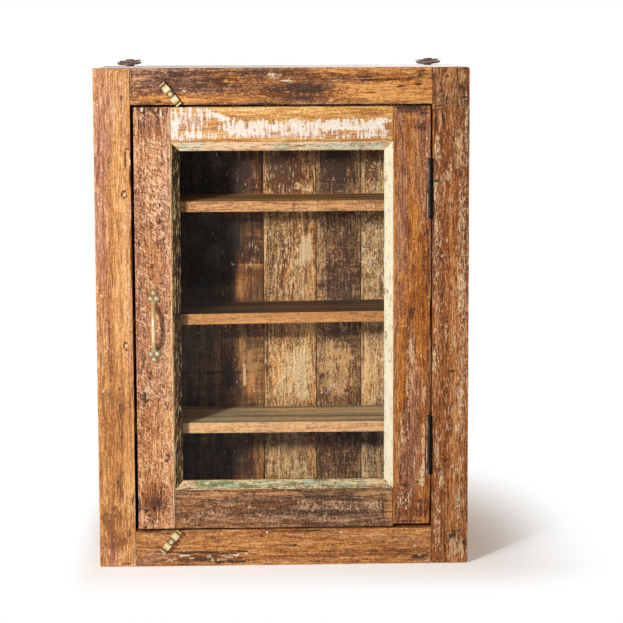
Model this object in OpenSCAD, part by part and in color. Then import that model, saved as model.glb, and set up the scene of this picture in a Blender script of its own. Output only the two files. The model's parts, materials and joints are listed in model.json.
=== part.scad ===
// Wall cabinet of reclaimed boards with one glazed door.
// X runs to the right, Y to the back and Z up. The origin is the middle of the
// case's underside, and the door is shut.

/* [Case] */
// Width over the face frame
width = 446; // [410:1:500]
// Depth from the face of the frame to the back
depth = 150; // [130:1:200]
// Height of the case
height = 600; // [570:1:660]
// Overhang of the face frame past each side board
overhang = 6; // [2:0.5:10]
// Thickness of the side, top and bottom boards
board_t = 14; // [11:0.5:18]
// Thickness of the back planks
plank_t = 12; // [8:0.5:16]
// Widths of the back planks from the left, which grow and shrink with the case
plank_w = [75, 68, 53, 66, 56, 57, 59];
// Gap between two back planks
plank_gap = 0.6; // [0.2:0.1:0.9]
// Lap of each back plank behind the next one
plank_lap = 5; // [3:0.5:6]

/* [Face frame] */
// Thickness of the face frame
frame_t = 20; // [16:0.5:24]
// Width of the left stile of the frame
stile_left_w = 43.8; // [36:0.2:52]
// Width of the right stile of the frame
stile_right_w = 44.4; // [36:0.2:50]
// Height of the top rail of the frame
rail_top_h = 43.5; // [36:0.5:52]
// Height of the bottom rail of the frame
rail_bottom_h = 44.5; // [36:0.5:52]
// Width of the patch let into the right stile's top
patch_w = 29; // [20:0.5:32]
// Height of the patch at its outer side
patch_h = 47; // [40:0.5:60]
// Fall of the patch's lower end towards the door
patch_fall = 3; // [0:0.5:6]

/* [Door] */
// Thickness of the door
door_t = 20; // [16:0.5:24]
// Gap between the door and the left stile
gap_left = 3.4; // [1.5:0.1:4]
// Gap between the door and the right stile
gap_right = 2.1; // [1.5:0.1:3.2]
// Gap above the door
gap_top = 2.4; // [1:0.1:4]
// Gap below the door
gap_bottom = 1.8; // [0.8:0.1:4]
// Width of the door's left stile
door_stile_left_w = 44; // [36:0.5:50]
// Width of the door's right stile
door_stile_right_w = 44.4; // [36:0.2:50]
// Height of the door's top rail
door_rail_top_h = 41.8; // [32:0.2:50]
// Height of the door's bottom rail
door_rail_bottom_h = 47.2; // [36:0.2:55]
// How much shorter the door's right stile ends than the bottom rail
stile_short = 3; // [0:0.1:4]
// Length of the tenons on the door's rails
tenon_l = 16; // [10:0.5:18]
// Thickness of the tenons
tenon_t = 7; // [5:0.5:9]
// Shoulder above and below each tenon
tenon_shoulder = 6; // [3:0.5:10]

/* [Glazing] */
// Width of the sloped strips round the glass
moulding_w = 10.4; // [8:0.2:16]
// Depth of the strips at the door's frame
moulding_t = 9; // [7:0.5:11]
// Depth of the strips at their inner edge
moulding_nose = 2; // [1.4:0.2:4]
// Setback of the strips behind the door's face
moulding_setback = 1; // [0:0.2:2]
// Thickness of the glass
glass_t = 3; // [2:0.5:4]
// Air round the edge of the glass
glass_air = 0.9; // [0.3:0.1:2]
// Width of the beads behind the glass
bead_w = 9; // [6:0.5:12]

/* [Shelves] */
// Thickness of a shelf
shelf_t = 13; // [10:0.5:18]
// Air between the door and the shelves' front edges
shelf_air = 3; // [1:0.5:8]
// Height of the top face of each shelf, from the lowest
shelf_z = [172, 305.8, 440.8];
// Tilt of each shelf in degrees, up to the right
shelf_tilt = [0, 0.55, 0];
// Section of the battens under the shelves
batten = 12; // [8:0.5:16]
// Distance from a batten's end to the shelf's front edge
batten_setback = 6; // [2:0.5:20]

/* [Hinges] */
// Length of a hinge
hinge_l = 70; // [56:1:80]
// Distance from the door's lower end to the middle of the lower hinge
hinge_low = 100; // [70:1:140]
// Distance from the door's top end to the middle of the upper hinge
hinge_high = 98; // [70:1:140]
// Radius of the hinge barrel
knuckle_r = 3.3; // [3:0.1:3.6]
// Radius of the hinge pin
pin_r = 1.5; // [1:0.1:1.7]
// Thickness of a hinge leaf
leaf_t = 1.4; // [1.2:0.1:1.8]
// Depth of a leaf between the stiles
leaf_w = 17; // [15:0.5:18]
// How far the pin's axis stands in front of the door
hinge_proud = 1.5; // [1:0.1:2.5]

/* [Handle] */
// Distance from the door's left edge to the handle
handle_inset = 21.7; // [16:0.1:24]
// Distance from the door's lower end to the handle's middle
handle_rise = 247.4; // [160:0.2:320]
// Half the distance between the handle's two end plates
handle_half = 33.2; // [30:0.2:45]
// Stand-off of the bow's outer side
bow_reach = 24; // [21:0.5:28]
// Radius of the bow's bar
bow_r = 2.4; // [2:0.1:3]
// Thickness of the end plates
plate_t = 2; // [1.4:0.1:3]
// Radius of a lobe of the end plates
lobe_r = 4; // [3.6:0.1:4.6]
// Distance between the two inner lobes
lobe_pair = 7.2; // [7:0.1:9]
// Distance from the inner lobes to the outer one
lobe_out = 6.9; // [6.6:0.1:9]
// Distance from the inner lobes to the bow's foot
foot_inset = 4.8; // [4.8:0.1:7]

/* [Turn buttons] */
// Distance from the left stile to the upper button
button_top_x = 48; // [30:0.1:120]
// Distance from the left stile to the lower button
button_bottom_x = 42.7; // [30:0.1:120]
// Distance from the door to each button's screw
button_off = 15.1; // [15:0.1:17]
// Half the length of a button
button_half = 16.2; // [15:0.1:16.4]
// Width of a button at the middle
button_w = 8.4; // [8:0.1:9]
// Width of a button at its ends
button_end_w = 7.2; // [5:0.1:7.4]
// Thickness of a button
button_t = 1.8; // [1.4:0.1:2.4]
// Stand-off of a button from the rail
button_stand = 2; // [0.5:0.1:3]
// Lean of the buttons from upright, in degrees
button_lean = 39; // [39:1:90]

/* [Hangers] */
// Distance from the side board to the middle of a hanger
hanger_inset = 32; // [26:0.5:36]
// Width of a hanging ring
ring_w = 30; // [28:0.5:36]
// Reach of a ring from its bar to its bow
ring_reach = 24; // [22:0.5:30]
// Radius of the ring's wire
wire_r = 1.6; // [1.4:0.1:1.8]
// Width of the strap
strap_w = 10; // [8:0.5:12]
// Thickness of the strap
strap_t = 1.3; // [1:0.1:1.5]
// Length of the strap down the back
strap_l = 30; // [24:0.5:40]
// Height of the ring's bar over the top board
bar_rise = 5.2; // [4.8:0.1:5.6]
// Lean of the hangers in degrees, up to the right
hanger_lean = 3; // [0:0.5:3]

/* [Hidden] */
$fn = 48;

// Fits and small clearances
fit = 0.05;
air = 0.3;
joint_air = 0.1;
past = 1;

// Case
front = -depth / 2;
back = depth / 2;
half_w = width / 2;
side_x = half_w - overhang;
inner_x = side_x - board_t;
case_front = front + frame_t;
plank_front = back - plank_t;
plank_mid = back - plank_t / 2;

// Opening in the face frame
open_left = -half_w + stile_left_w;
open_right = half_w - stile_right_w;
open_low = rail_bottom_h;
open_high = height - rail_top_h;
patch_right = open_right + patch_w;

// Door
door_left = open_left + gap_left;
door_right = open_right - gap_right;
door_low = open_low + gap_bottom;
door_high = open_high - gap_top;
door_back = front + door_t;
light_left = door_left + door_stile_left_w;
light_right = door_right - door_stile_right_w;
light_low = door_low + door_rail_bottom_h;
light_high = door_high - door_rail_top_h;
light_mid_x = (light_left + light_right) / 2;
light_mid_z = (light_low + light_high) / 2;
light_half_x = (light_right - light_left) / 2;
light_half_z = (light_high - light_low) / 2;
tenon_front = front + (door_t - tenon_t) / 2;

// Glazing, from the front to the back
strip_front = front + moulding_setback;
strip_back = strip_front + moulding_t;
glass_front = strip_back + joint_air;
glass_back = glass_front + glass_t;
bead_front = glass_back + joint_air;

// Shelves
shelf_front = door_back + shelf_air;
shelf_end = inner_x - air;
batten_air = 0.45;
batten_end = inner_x - batten_air;
batten_front = shelf_front + batten_setback;

// Hinges: the leaves meet in the middle of the gap
leaf_air = 0.5;
leaf_bite = 0.6;
hinge_mid = (door_right + open_right) / 2;
leaf_door_x = hinge_mid - leaf_air / 2 - leaf_t;
leaf_frame_x = hinge_mid + leaf_air / 2;
axis_x = leaf_frame_x + leaf_bite - knuckle_r;
axis_y = front - hinge_proud;
hinge_z = [door_low + hinge_low, door_high - hinge_high];
knuckles = 5;
knuckle_l = hinge_l / knuckles;
notch_r = knuckle_r + 0.5;
pin_head_t = 0.9;
pin_head_rim = 1.1;
leaf_root = 1.7;
hinge_screw_pitch = 0.34 * hinge_l;
hinge_screw_in = 0.62 * leaf_w;

// Screws and nails
screw_r = 1.3;
screw_head_r = 2.9;
screw_head_t = 1.2;
screw_l = 13;
nail_r = 1.1;
nail_head_r = 2.1;
nail_head_t = 0.8;
nail_set = 0.4;
case_nail_l = 38;
batten_nail_l = 20;
side_nail_l = 42;
old_nail_l = 15;
brad_r = 0.5;
brad_l = 19;

// Handle
handle_x = door_left + handle_inset;
handle_z = door_low + handle_rise;
bow_half = handle_half - foot_inset;
collar_r = bow_r + 0.6;
collar_h = plate_t + 0.8;
foot_r = collar_r + 0.5;
bow_mid_reach = bow_reach - bow_r;
bow_foot = plate_t / 2;
bow_sag = bow_mid_reach - bow_foot;
bow_radius = (bow_half * bow_half + bow_sag * bow_sag) / (2 * bow_sag);
bow_angle = asin(bow_half / bow_radius);
lobe_screw_r = 1.2;
lobe_head_r = 2.7;
lobe_head_t = 1.8;
lobe_screw_l = 14;

// Turn buttons
button_bore = 2;
button_boss_r = 3.5;
button_boss_t = 0.7;
button_lip = 1.4;
button_lip_t = 1.1;
button_head_r = 3.1;
button_head_t = 1.5;
button_screw_l = 16;
button_back = front - button_stand;
button_front = button_back - button_t;
buttons = [
    [open_left + button_top_x, door_high + button_off, button_lean],
    [open_left + button_bottom_x, door_low - button_off, -button_lean]
];

// Hangers
strap_screw_drop = 17;
ring_a = ring_w / 2 - wire_r;
ring_arm = ring_reach - ring_a;
ring_fit = 0.08;
fold_r = wire_r + ring_fit + strap_t;
bar_y = back - fold_r;
bar_z = height + bar_rise;
ring_sink = (bar_rise - wire_r - air - ring_a * sin(hanger_lean)) / ring_reach;
ring_droop = asin(ring_sink);
hanger_x = side_x - hanger_inset;
strap_side = hanger_x - strap_w / 2;
strap_screw_l = plank_t - 1;

// Positions of the nails
case_nail_inset = 14;
rail_nail_inset = 30;
case_nail_y = [
    case_front + case_nail_inset,
    (case_front + plank_front) / 2,
    plank_front - case_nail_inset
];
side_nail_z = [74, 215, 331, height - 76];
old_nails = [[-32, 375.5], [-39.6, 140.3], [-32.2, 111.8], [-10.9, 248]];

// The planks share the width of the case
plank_last = len(plank_w) - 1;
plank_scale = 2 * side_x / (plank_w * [for (w = plank_w) 1]);

function plank_left(i) = i == 0 ? -side_x : plank_right(i - 1);
function plank_right(i) = i < plank_last ? plank_left(i) + plank_w[i] * plank_scale : side_x;

// A plank is nailed in its middle, an outer one between its strap and its lap
function plank_nail_x(i) =
    i == 0 ? (plank_right(i) - strap_side) / 2 :
    i == plank_last ? (plank_left(i) + plank_lap + strap_side) / 2 :
    (plank_left(i) + plank_right(i)) / 2;

// A box between two corners
module block(lo, hi) {
    translate(lo)
        cube(hi - lo);
}

// Turns what points up so that it points to the front
module facing_front() {
    rotate([90, 0, 0])
        children();
}

// A nail with its head at the origin, driven down
module nail(l, grow = 0) {
    translate([0, 0, -nail_head_t - grow])
        cylinder(r = nail_head_r + grow, h = nail_head_t + (grow > 0 ? past : 0));
    translate([0, 0, -l - grow])
        cylinder(r = nail_r + grow, h = l - nail_head_t / 2);
}

// A countersunk screw with its head flush at the origin, driven down
module flat_screw(l, r, head_r, head_t, grow = 0) {
    translate([0, 0, -head_t])
        cylinder(r1 = r + grow, r2 = head_r + grow, h = head_t);
    translate([0, 0, -l - grow])
        cylinder(r = r + grow, h = l - head_t / 2);
    if (grow > 0)
        translate([0, 0, -grow])
            cylinder(r = head_r + grow, h = past);
}

// Nails down through the top board and up through the bottom board
module end_nails(grow = 0) {
    for (sx = [-1, 1], y = case_nail_y) {
        translate([sx * (side_x - board_t / 2), y, height - nail_set])
            nail(case_nail_l, grow);
        translate([sx * (side_x - board_t / 2), y, nail_set])
            mirror([0, 0, 1])
                nail(case_nail_l, grow);
    }
}

// Nails through one back plank into the top and bottom boards
module plank_nails(i, grow = 0) {
    for (z = [board_t / 2, height - board_t / 2])
        translate([plank_nail_x(i), back - nail_set, z])
            rotate([-90, 0, 0])
                nail(case_nail_l, grow);
}

// The tilted place of a shelf, with the origin on its top face
module at_shelf(i) {
    translate([0, 0, shelf_z[i]])
        rotate([0, -shelf_tilt[i], 0])
            children();
}

// Nails through a pair of battens into the side boards
module batten_nails(i, grow = 0) {
    for (sx = [-1, 1], y = [batten_front + case_nail_inset, plank_front - case_nail_inset])
        at_shelf(i)
            translate([sx * (batten_end - batten + nail_set), y, -shelf_t - batten / 2])
                rotate([0, -sx * 90, 0])
                    nail(batten_nail_l, grow);
}

// Nails through the face frame into the side boards' edges
module side_nails(sx, grow = 0) {
    for (z = side_nail_z)
        translate([sx * (side_x - board_t / 2), front + nail_set, z])
            facing_front()
                nail(side_nail_l, grow);
}

// Old nails left in the reclaimed right stile
module old_nail_set(grow = 0) {
    for (p = old_nails)
        translate([half_w + p[0], front + nail_set, p[1]])
            facing_front()
                nail(old_nail_l, grow);
}

// Nails through the rails into the top and bottom boards' edges
module rail_nails(z, grow = 0) {
    for (x = [open_left + rail_nail_inset, 0, open_right - rail_nail_inset])
        translate([x, front + nail_set, z])
            facing_front()
                nail(side_nail_l, grow);
}

// Nail through the patch into the top board's edge
module patch_nail(grow = 0) {
    translate([open_right + patch_w / 2, front + nail_set, height - board_t / 2])
        facing_front()
            nail(side_nail_l, grow);
}

module side_board(sx) {
    lo = sx < 0 ? -side_x : inner_x;
    difference() {
        block([lo, case_front, board_t], [lo + board_t, plank_front, height - board_t]);
        end_nails(fit);
        side_nails(sx, fit);
        for (i = [0 : 2])
            batten_nails(i, fit);
    }
}

module side_left() {
    color("#6b3f24") side_board(-1);
}

module side_right() {
    color("#6b3f24") side_board(1);
}

module top_board() {
    color("#8a7560")
        difference() {
            block([-side_x, case_front, height - board_t], [side_x, plank_front, height]);
            end_nails(fit);
            rail_nails(height - board_t / 2, fit);
            patch_nail(fit);
            for (i = [0 : plank_last])
                plank_nails(i, fit);
        }
}

module bottom_board() {
    color("#6b4a30")
        difference() {
            block([-side_x, case_front, 0], [side_x, plank_front, board_t]);
            end_nails(fit);
            rail_nails(board_t / 2, fit);
            for (i = [0 : plank_last])
                plank_nails(i, fit);
        }
}

// A back plank, lapped behind the next one, with the straps let in flush
module back_plank(i) {
    left = plank_left(i) + (i > 0 ? plank_gap / 2 : 0);
    right = plank_right(i) - (i < plank_last ? plank_gap / 2 : 0);
    body_left = left + (i > 0 ? plank_lap : 0);
    difference() {
        union() {
            block([body_left, plank_front, 0], [right, back, height]);
            if (i > 0)
                block([left, plank_front, 0], [body_left + past, plank_mid - joint_air / 2, height]);
            if (i < plank_last)
                block([right - past, plank_mid + joint_air / 2, 0], [right + plank_lap, back, height]);
        }
        plank_nails(i, fit);
        for (sx = [-1, 1]) {
            strap_seat(sx);
            hanger_screw(sx, fit);
        }
    }
}

module back_plank_1() {
    color("#4a2c1c") back_plank(0);
}

module back_plank_2() {
    color("#3e2417") back_plank(1);
}

module back_plank_3() {
    color("#5a3820") back_plank(2);
}

module back_plank_4() {
    color("#a08a6a") back_plank(3);
}

module back_plank_5() {
    color("#5c3a24") back_plank(4);
}

module back_plank_6() {
    color("#9a7c5a") back_plank(5);
}

module back_plank_7() {
    color("#6a4a30") back_plank(6);
}

module frame_stile_left() {
    color("#a8683a")
        difference() {
            block([-half_w, front, 0], [open_left, case_front, height]);
            side_nails(-1, fit);
        }
}

// The stretch of the right stile that the patch takes
module patch_shape(grow = 0) {
    low = height - patch_h;
    facing_front()
        translate([0, 0, -case_front - grow])
            linear_extrude(height = frame_t + 2 * grow)
                polygon([
                    [open_right - past * sign(grow), height + grow],
                    [patch_right + joint_air * sign(grow), height + grow],
                    [patch_right + joint_air * sign(grow), low - joint_air * sign(grow)],
                    [open_right - past * sign(grow), low - patch_fall - joint_air * sign(grow)]
                ]);
}

module frame_stile_right() {
    color("#8a5030")
        difference() {
            block([open_right, front, 0], [half_w, case_front, height]);
            patch_shape(past);
            side_nails(1, fit);
            old_nail_set(fit);
            for (z = hinge_z) {
                hinge_housing(z);
                hinge_screw_set(z, 1, fit);
            }
        }
}

module frame_rail_top() {
    color("#7a4a2a")
        difference() {
            block([open_left, front, open_high], [open_right, case_front, height]);
            rail_nails(height - board_t / 2, fit);
            button_screw(0, fit);
        }
}

module frame_rail_bottom() {
    color("#9a6034")
        difference() {
            block([open_left, front, 0], [open_right, case_front, open_low]);
            rail_nails(board_t / 2, fit);
            button_screw(1, fit);
        }
}

module corner_patch() {
    color("#a87848")
        difference() {
            patch_shape();
            patch_nail(fit);
        }
}

module shelf(i) {
    at_shelf(i)
        block([-shelf_end, shelf_front, -shelf_t], [shelf_end, plank_front - air, 0]);
}

module shelf_bottom() {
    color("#7a5a3a") shelf(0);
}

module shelf_middle() {
    color("#7a5a3a") shelf(1);
}

module shelf_top() {
    color("#7a5a3a") shelf(2);
}

module shelf_batten(i, sx) {
    lo = sx < 0 ? -batten_end : batten_end - batten;
    difference() {
        at_shelf(i)
            block([lo, batten_front, -shelf_t - batten], [lo + batten, plank_front - air, -shelf_t]);
        batten_nails(i, fit);
    }
}

module batten_bottom_left() {
    color("#6a4428") shelf_batten(0, -1);
}

module batten_bottom_right() {
    color("#6a4428") shelf_batten(0, 1);
}

module batten_middle_left() {
    color("#6a4428") shelf_batten(1, -1);
}

module batten_middle_right() {
    color("#6a4428") shelf_batten(1, 1);
}

module batten_top_left() {
    color("#6a4428") shelf_batten(2, -1);
}

module batten_top_right() {
    color("#6a4428") shelf_batten(2, 1);
}

module case_nails() {
    color("#3a3634") {
        end_nails();
        for (i = [0 : plank_last])
            plank_nails(i);
        for (i = [0 : 2])
            batten_nails(i);
    }
}

module frame_nails() {
    color("#3a3634") {
        side_nails(-1);
        side_nails(1);
        old_nail_set();
        rail_nails(board_t / 2);
        rail_nails(height - board_t / 2);
        patch_nail();
    }
}

// The place of a hanger, with the origin in the middle of the ring's bar
module at_hanger(sx) {
    translate([sx * hanger_x, bar_y, bar_z])
        rotate([0, -hanger_lean, 0])
            children();
}

// The recess for a strap in the back planks
module strap_seat(sx) {
    at_hanger(sx)
        block([-strap_w / 2 - fit, fold_r - strap_t - fit, -strap_l - fit],
              [strap_w / 2 + fit, fold_r + past, past]);
}

module hanger_screw(sx, grow = 0) {
    at_hanger(sx)
        translate([0, fold_r, -bar_rise - strap_screw_drop])
            rotate([-90, 0, 0])
                flat_screw(strap_screw_l, screw_r, screw_head_r, screw_head_t, grow);
}

// A strap folded forwards over the ring's bar and screwed to the back
module hanger_strap(sx) {
    difference() {
        at_hanger(sx)
            difference() {
                union() {
                    rotate([0, 90, 0])
                        cylinder(r = fold_r, h = strap_w, center = true);
                    block([-strap_w / 2, fold_r - strap_t, -strap_l], [strap_w / 2, fold_r, 0]);
                }
                rotate([0, 90, 0])
                    cylinder(r = wire_r + ring_fit, h = strap_w + 2 * past, center = true);
            }
        hanger_screw(sx, fit);
    }
}

module hanger_strap_left() {
    color("#34302e") hanger_strap(-1);
}

module hanger_strap_right() {
    color("#34302e") hanger_strap(1);
}

// A half-round ring with a straight bar, lying forwards on the top
module hanging_ring(sx) {
    at_hanger(sx)
        rotate([ring_droop, 0, 0]) {
            rotate([0, 90, 0])
                cylinder(r = wire_r, h = 2 * ring_a, center = true);
            for (s = [-1, 1])
                translate([s * ring_a, 0, 0]) {
                    sphere(r = wire_r);
                    facing_front()
                        cylinder(r = wire_r, h = ring_arm);
                }
            translate([0, -ring_arm, 0])
                rotate([0, 0, 180])
                    rotate_extrude(angle = 180)
                        translate([ring_a, 0])
                            circle(r = wire_r);
        }
}

module hanging_ring_left() {
    color("#34302e") hanging_ring(-1);
}

module hanging_ring_right() {
    color("#34302e") hanging_ring(1);
}

module hanger_screws() {
    color("#4a4644")
        for (sx = [-1, 1])
            hanger_screw(sx);
}

// Screw of a turn button: head, shank through the button, point in the rail
module button_screw(i, grow = 0) {
    translate([buttons[i][0], 0, buttons[i][1]]) {
        translate([0, button_front - button_boss_t - fit, 0])
            facing_front()
                cylinder(r1 = button_head_r, r2 = button_head_r - 1, h = button_head_t);
        translate([0, front + button_screw_l, 0])
            facing_front()
                cylinder(r = button_bore - fit + grow,
                         h = button_screw_l + button_stand + button_t + button_boss_t + fit);
    }
}

// A turn button with a boss on both faces and an upturned lip at both ends
module turn_button(i) {
    p = buttons[i];
    translate([p[0], button_back, p[1]])
        rotate([0, -p[2], 0])
            difference() {
                union() {
                    facing_front() {
                        linear_extrude(height = button_t)
                            for (s = [-1, 1])
                                polygon([
                                    [-button_w / 2, 0],
                                    [button_w / 2, 0],
                                    [button_end_w / 2, s * button_half],
                                    [-button_end_w / 2, s * button_half]
                                ]);
                        cylinder(r = button_boss_r, h = button_t + button_boss_t);
                        translate([0, 0, fit - button_stand])
                            cylinder(r = button_boss_r, h = button_stand);
                    }
                    for (s = [-1, 1])
                        translate([0, -button_t - button_lip / 2,
                                   s * (button_half - button_lip_t / 2)])
                            cube([button_end_w, button_lip, button_lip_t], center = true);
                }
                translate([0, button_stand + past, 0])
                    facing_front()
                        cylinder(r = button_bore,
                                 h = button_stand + button_t + button_boss_t + 3 * past);
            }
}

module turn_button_top() {
    color("#b08a4a") turn_button(0);
}

module turn_button_bottom() {
    color("#b08a4a") turn_button(1);
}

module button_screws() {
    color("#a8905c")
        for (i = [0, 1])
            button_screw(i);
}

// A round along the hinge's axis, between two heights over its middle
module on_axis(z, r, lo, hi) {
    translate([axis_x, axis_y, z + lo])
        cylinder(r = r, h = hi - lo);
}

function knuckle_lo(k) = -hinge_l / 2 + k * knuckle_l;

// The seat of a leaf in a stile: the frame's from the gap outwards
module hinge_housing(z) {
    block([leaf_door_x - fit, front - past, z - hinge_l / 2 - fit],
          [leaf_frame_x + leaf_t + fit, axis_y + leaf_w + fit, z + hinge_l / 2 + fit]);
}

// One leaf with its knuckles: side 0 is the door's, side 1 the frame's
module hinge_leaf(z, side) {
    x = side == 0 ? leaf_door_x : leaf_frame_x;
    root = side == 0 ? leaf_root : 0;
    difference() {
        union() {
            block([x, axis_y + root, z - hinge_l / 2], [x + leaf_t, axis_y + leaf_w, z + hinge_l / 2]);
            for (k = [1 - side : 2 : knuckles - 1])
                on_axis(z, knuckle_r, knuckle_lo(k) + (k > 0 ? air / 2 : 0),
                        knuckle_lo(k + 1) - (k < knuckles - 1 ? air / 2 : 0));
        }
        on_axis(z, pin_r + fit, -hinge_l / 2 - past, hinge_l / 2 + past);
        for (k = [side : 2 : knuckles - 1])
            on_axis(z, knuckle_r + air, knuckle_lo(k) - (k > 0 ? air / 2 : past),
                    knuckle_lo(k + 1) + (k < knuckles - 1 ? air / 2 : past));
        hinge_screw_set(z, side, fit);
    }
}

module hinge_leaf_frame_top() {
    color("#2e2a28") hinge_leaf(hinge_z[1], 1);
}

module hinge_leaf_frame_bottom() {
    color("#2e2a28") hinge_leaf(hinge_z[0], 1);
}

module hinge_leaf_door_top() {
    color("#2e2a28") hinge_leaf(hinge_z[1], 0);
}

module hinge_leaf_door_bottom() {
    color("#2e2a28") hinge_leaf(hinge_z[0], 0);
}

// A loose pin with a head at both ends
module hinge_pin(z) {
    on_axis(z, pin_r, -(hinge_l + pin_head_t) / 2, (hinge_l + pin_head_t) / 2);
    for (s = [-1, 1])
        translate([0, 0, s * (hinge_l + pin_head_t) / 2])
            on_axis(z, pin_r + pin_head_rim, -pin_head_t / 2, pin_head_t / 2);
}

module hinge_pin_top() {
    color("#3a3634") hinge_pin(hinge_z[1]);
}

module hinge_pin_bottom() {
    color("#3a3634") hinge_pin(hinge_z[0]);
}

// Three screws through a leaf: side 0 into the door, side 1 into the frame
module hinge_screw_set(z, side, grow = 0) {
    x = side == 0 ? leaf_door_x + leaf_t : leaf_frame_x;
    for (row = [-1, 0, 1])
        translate([x, axis_y + hinge_screw_in, z + row * hinge_screw_pitch])
            rotate([0, side == 0 ? 90 : -90, 0])
                flat_screw(screw_l, screw_r, screw_head_r, screw_head_t, grow);
}

module hinge_screws_frame() {
    color("#4a4644")
        for (z = hinge_z)
            hinge_screw_set(z, 1);
}

module hinge_screws_door() {
    color("#4a4644")
        for (z = hinge_z)
            hinge_screw_set(z, 0);
}

// The tenons of a door rail, or the mortises for them with grow
module tenons(lo, hi, grow = 0) {
    for (x = [light_left - tenon_l, light_right])
        block([x - grow, tenon_front - grow, lo + tenon_shoulder - grow],
              [x + tenon_l + grow, tenon_front + tenon_t + grow, hi - tenon_shoulder + grow]);
}

module door_mortises() {
    tenons(door_low, light_low, joint_air);
    tenons(light_high, door_high, joint_air);
}

module door_stile_left() {
    color("#9a5c38")
        difference() {
            block([door_left, front, door_low], [light_left, door_back, door_high]);
            door_mortises();
            glazing_pin_set(fit);
            handle_screw_set(fit);
        }
}

module door_stile_right() {
    color("#8a4a2c")
        difference() {
            block([light_right, front, door_low + stile_short], [door_right, door_back, door_high]);
            door_mortises();
            glazing_pin_set(fit);
            for (z = hinge_z) {
                hinge_housing(z);
                on_axis(z, notch_r, -hinge_l / 2 - pin_head_t - air, hinge_l / 2 + pin_head_t + air);
                hinge_screw_set(z, 0, fit);
            }
        }
}

module door_rail(lo, hi) {
    difference() {
        union() {
            block([light_left, front, lo], [light_right, door_back, hi]);
            tenons(lo, hi);
        }
        glazing_pin_set(fit);
    }
}

module door_rail_top() {
    color("#d8c4a8") door_rail(light_high, door_high);
}

module door_rail_bottom() {
    color("#6a4630") door_rail(door_low, light_low);
}

// The section of a sloped strip, from the door's frame inwards
module strip_section() {
    polygon([
        [0, 0],
        [moulding_w, moulding_t - moulding_nose],
        [moulding_w, moulding_t],
        [0, moulding_t]
    ]);
}

// The section of a bead behind the glass
module bead_section() {
    square([bead_w, door_back - bead_front]);
}

// A mitred strip along +X of a given half length, growing inwards to +Y
module mitred(half_l, w, t) {
    intersection() {
        rotate([90, 0, 90])
            linear_extrude(height = 2 * half_l, center = true)
                children();
        linear_extrude(height = t)
            polygon([
                [-half_l, 0],
                [half_l, 0],
                [half_l - w, w],
                [w - half_l, w]
            ]);
    }
}

// Puts a strip drawn along X on one side of the light: 0 low, 1 right, 2 high, 3 left
module on_side(s, y) {
    reach = s % 2 == 0 ? light_half_z : light_half_x;
    translate([light_mid_x, y, light_mid_z])
        rotate([0, -90 * s, 0])
            translate([0, 0, -reach])
                rotate([90, 0, 0])
                    mirror([0, 0, 1])
                        children();
}

module moulding(s) {
    half_l = s % 2 == 0 ? light_half_x : light_half_z;
    difference() {
        on_side(s, strip_front)
            mitred(half_l, moulding_w, moulding_t)
                strip_section();
        glazing_pin_set(fit);
    }
}

module bead(s) {
    half_l = s % 2 == 0 ? light_half_x : light_half_z;
    difference() {
        on_side(s, bead_front)
            mitred(half_l, bead_w, door_back - bead_front)
                bead_section();
        glazing_pin_set(fit);
    }
}

module moulding_bottom() {
    color("#7a9a78") moulding(0);
}

module moulding_right() {
    color("#dcd2b4") moulding(1);
}

module moulding_top() {
    color("#c8ccac") moulding(2);
}

module moulding_left() {
    color("#4a4630") moulding(3);
}

module bead_bottom() {
    color("#7a5434") bead(0);
}

module bead_right() {
    color("#7a5434") bead(1);
}

module bead_top() {
    color("#7a5434") bead(2);
}

module bead_left() {
    color("#7a5434") bead(3);
}

module glass_pane() {
    color("#b8c8c0", 0.35)
        block([light_left + glass_air, glass_front, light_low + glass_air],
              [light_right - glass_air, glass_back, light_high - glass_air]);
}

// One brad with its head end at the origin, driven down
module brad(grow = 0) {
    translate([0, 0, -brad_l - grow])
        cylinder(r = brad_r + grow, h = brad_l + grow + (grow > 0 ? past : 0));
}

// Brads along the strips and beads of one side, driven out into the door's frame
module side_brads(s, w, y, grow) {
    half_l = s % 2 == 0 ? light_half_x : light_half_z;
    n = s % 2 == 0 ? 2 : 3;
    for (i = [0 : n - 1])
        on_side(s, y)
            translate([(2 * i + 1 - n) / n * (half_l - 2 * moulding_w), w - nail_set, 0])
                rotate([-90, 0, 0])
                    brad(grow);
}

module glazing_pin_set(grow = 0) {
    for (s = [0 : 3]) {
        side_brads(s, moulding_w, strip_back - moulding_nose / 2, grow);
        side_brads(s, bead_w, (bead_front + door_back) / 2, grow);
    }
}

module glazing_pins() {
    color("#5a5048") glazing_pin_set();
}

function lobes(s) = [
    [-lobe_pair / 2, s * handle_half],
    [lobe_pair / 2, s * handle_half],
    [0, s * (handle_half + lobe_out)]
];

// The place of the handle on the door's face, with up kept and out towards +Z
module at_handle() {
    translate([handle_x, front, handle_z])
        facing_front()
            children();
}

// A three-lobed end plate with a foot for the bow
module end_plate(s) {
    inner = lobes(s)[0];
    linear_extrude(height = plate_t) {
        polygon(lobes(s));
        polygon([inner, [-inner[0], inner[1]], [foot_r, s * bow_half], [-foot_r, s * bow_half]]);
    }
    for (p = lobes(s))
        translate(p)
            cylinder(r = lobe_r, h = plate_t);
    translate([0, s * bow_half, 0])
        cylinder(r = foot_r, h = plate_t);
}

module handle() {
    color("#9a7a44")
        difference() {
            union() {
                at_handle() {
                    end_plate(-1);
                    end_plate(1);
                    translate([0, 0, bow_mid_reach - bow_radius])
                        rotate([90, 0, 90])
                            rotate([0, 0, 90 - bow_angle])
                                rotate_extrude(angle = 2 * bow_angle)
                                    translate([bow_radius, 0])
                                        circle(r = bow_r);
                    for (s = [-1, 1])
                        translate([0, s * bow_half, 0])
                            cylinder(r = collar_r, h = collar_h);
                }
            }
            handle_screw_set(fit);
        }
}

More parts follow.
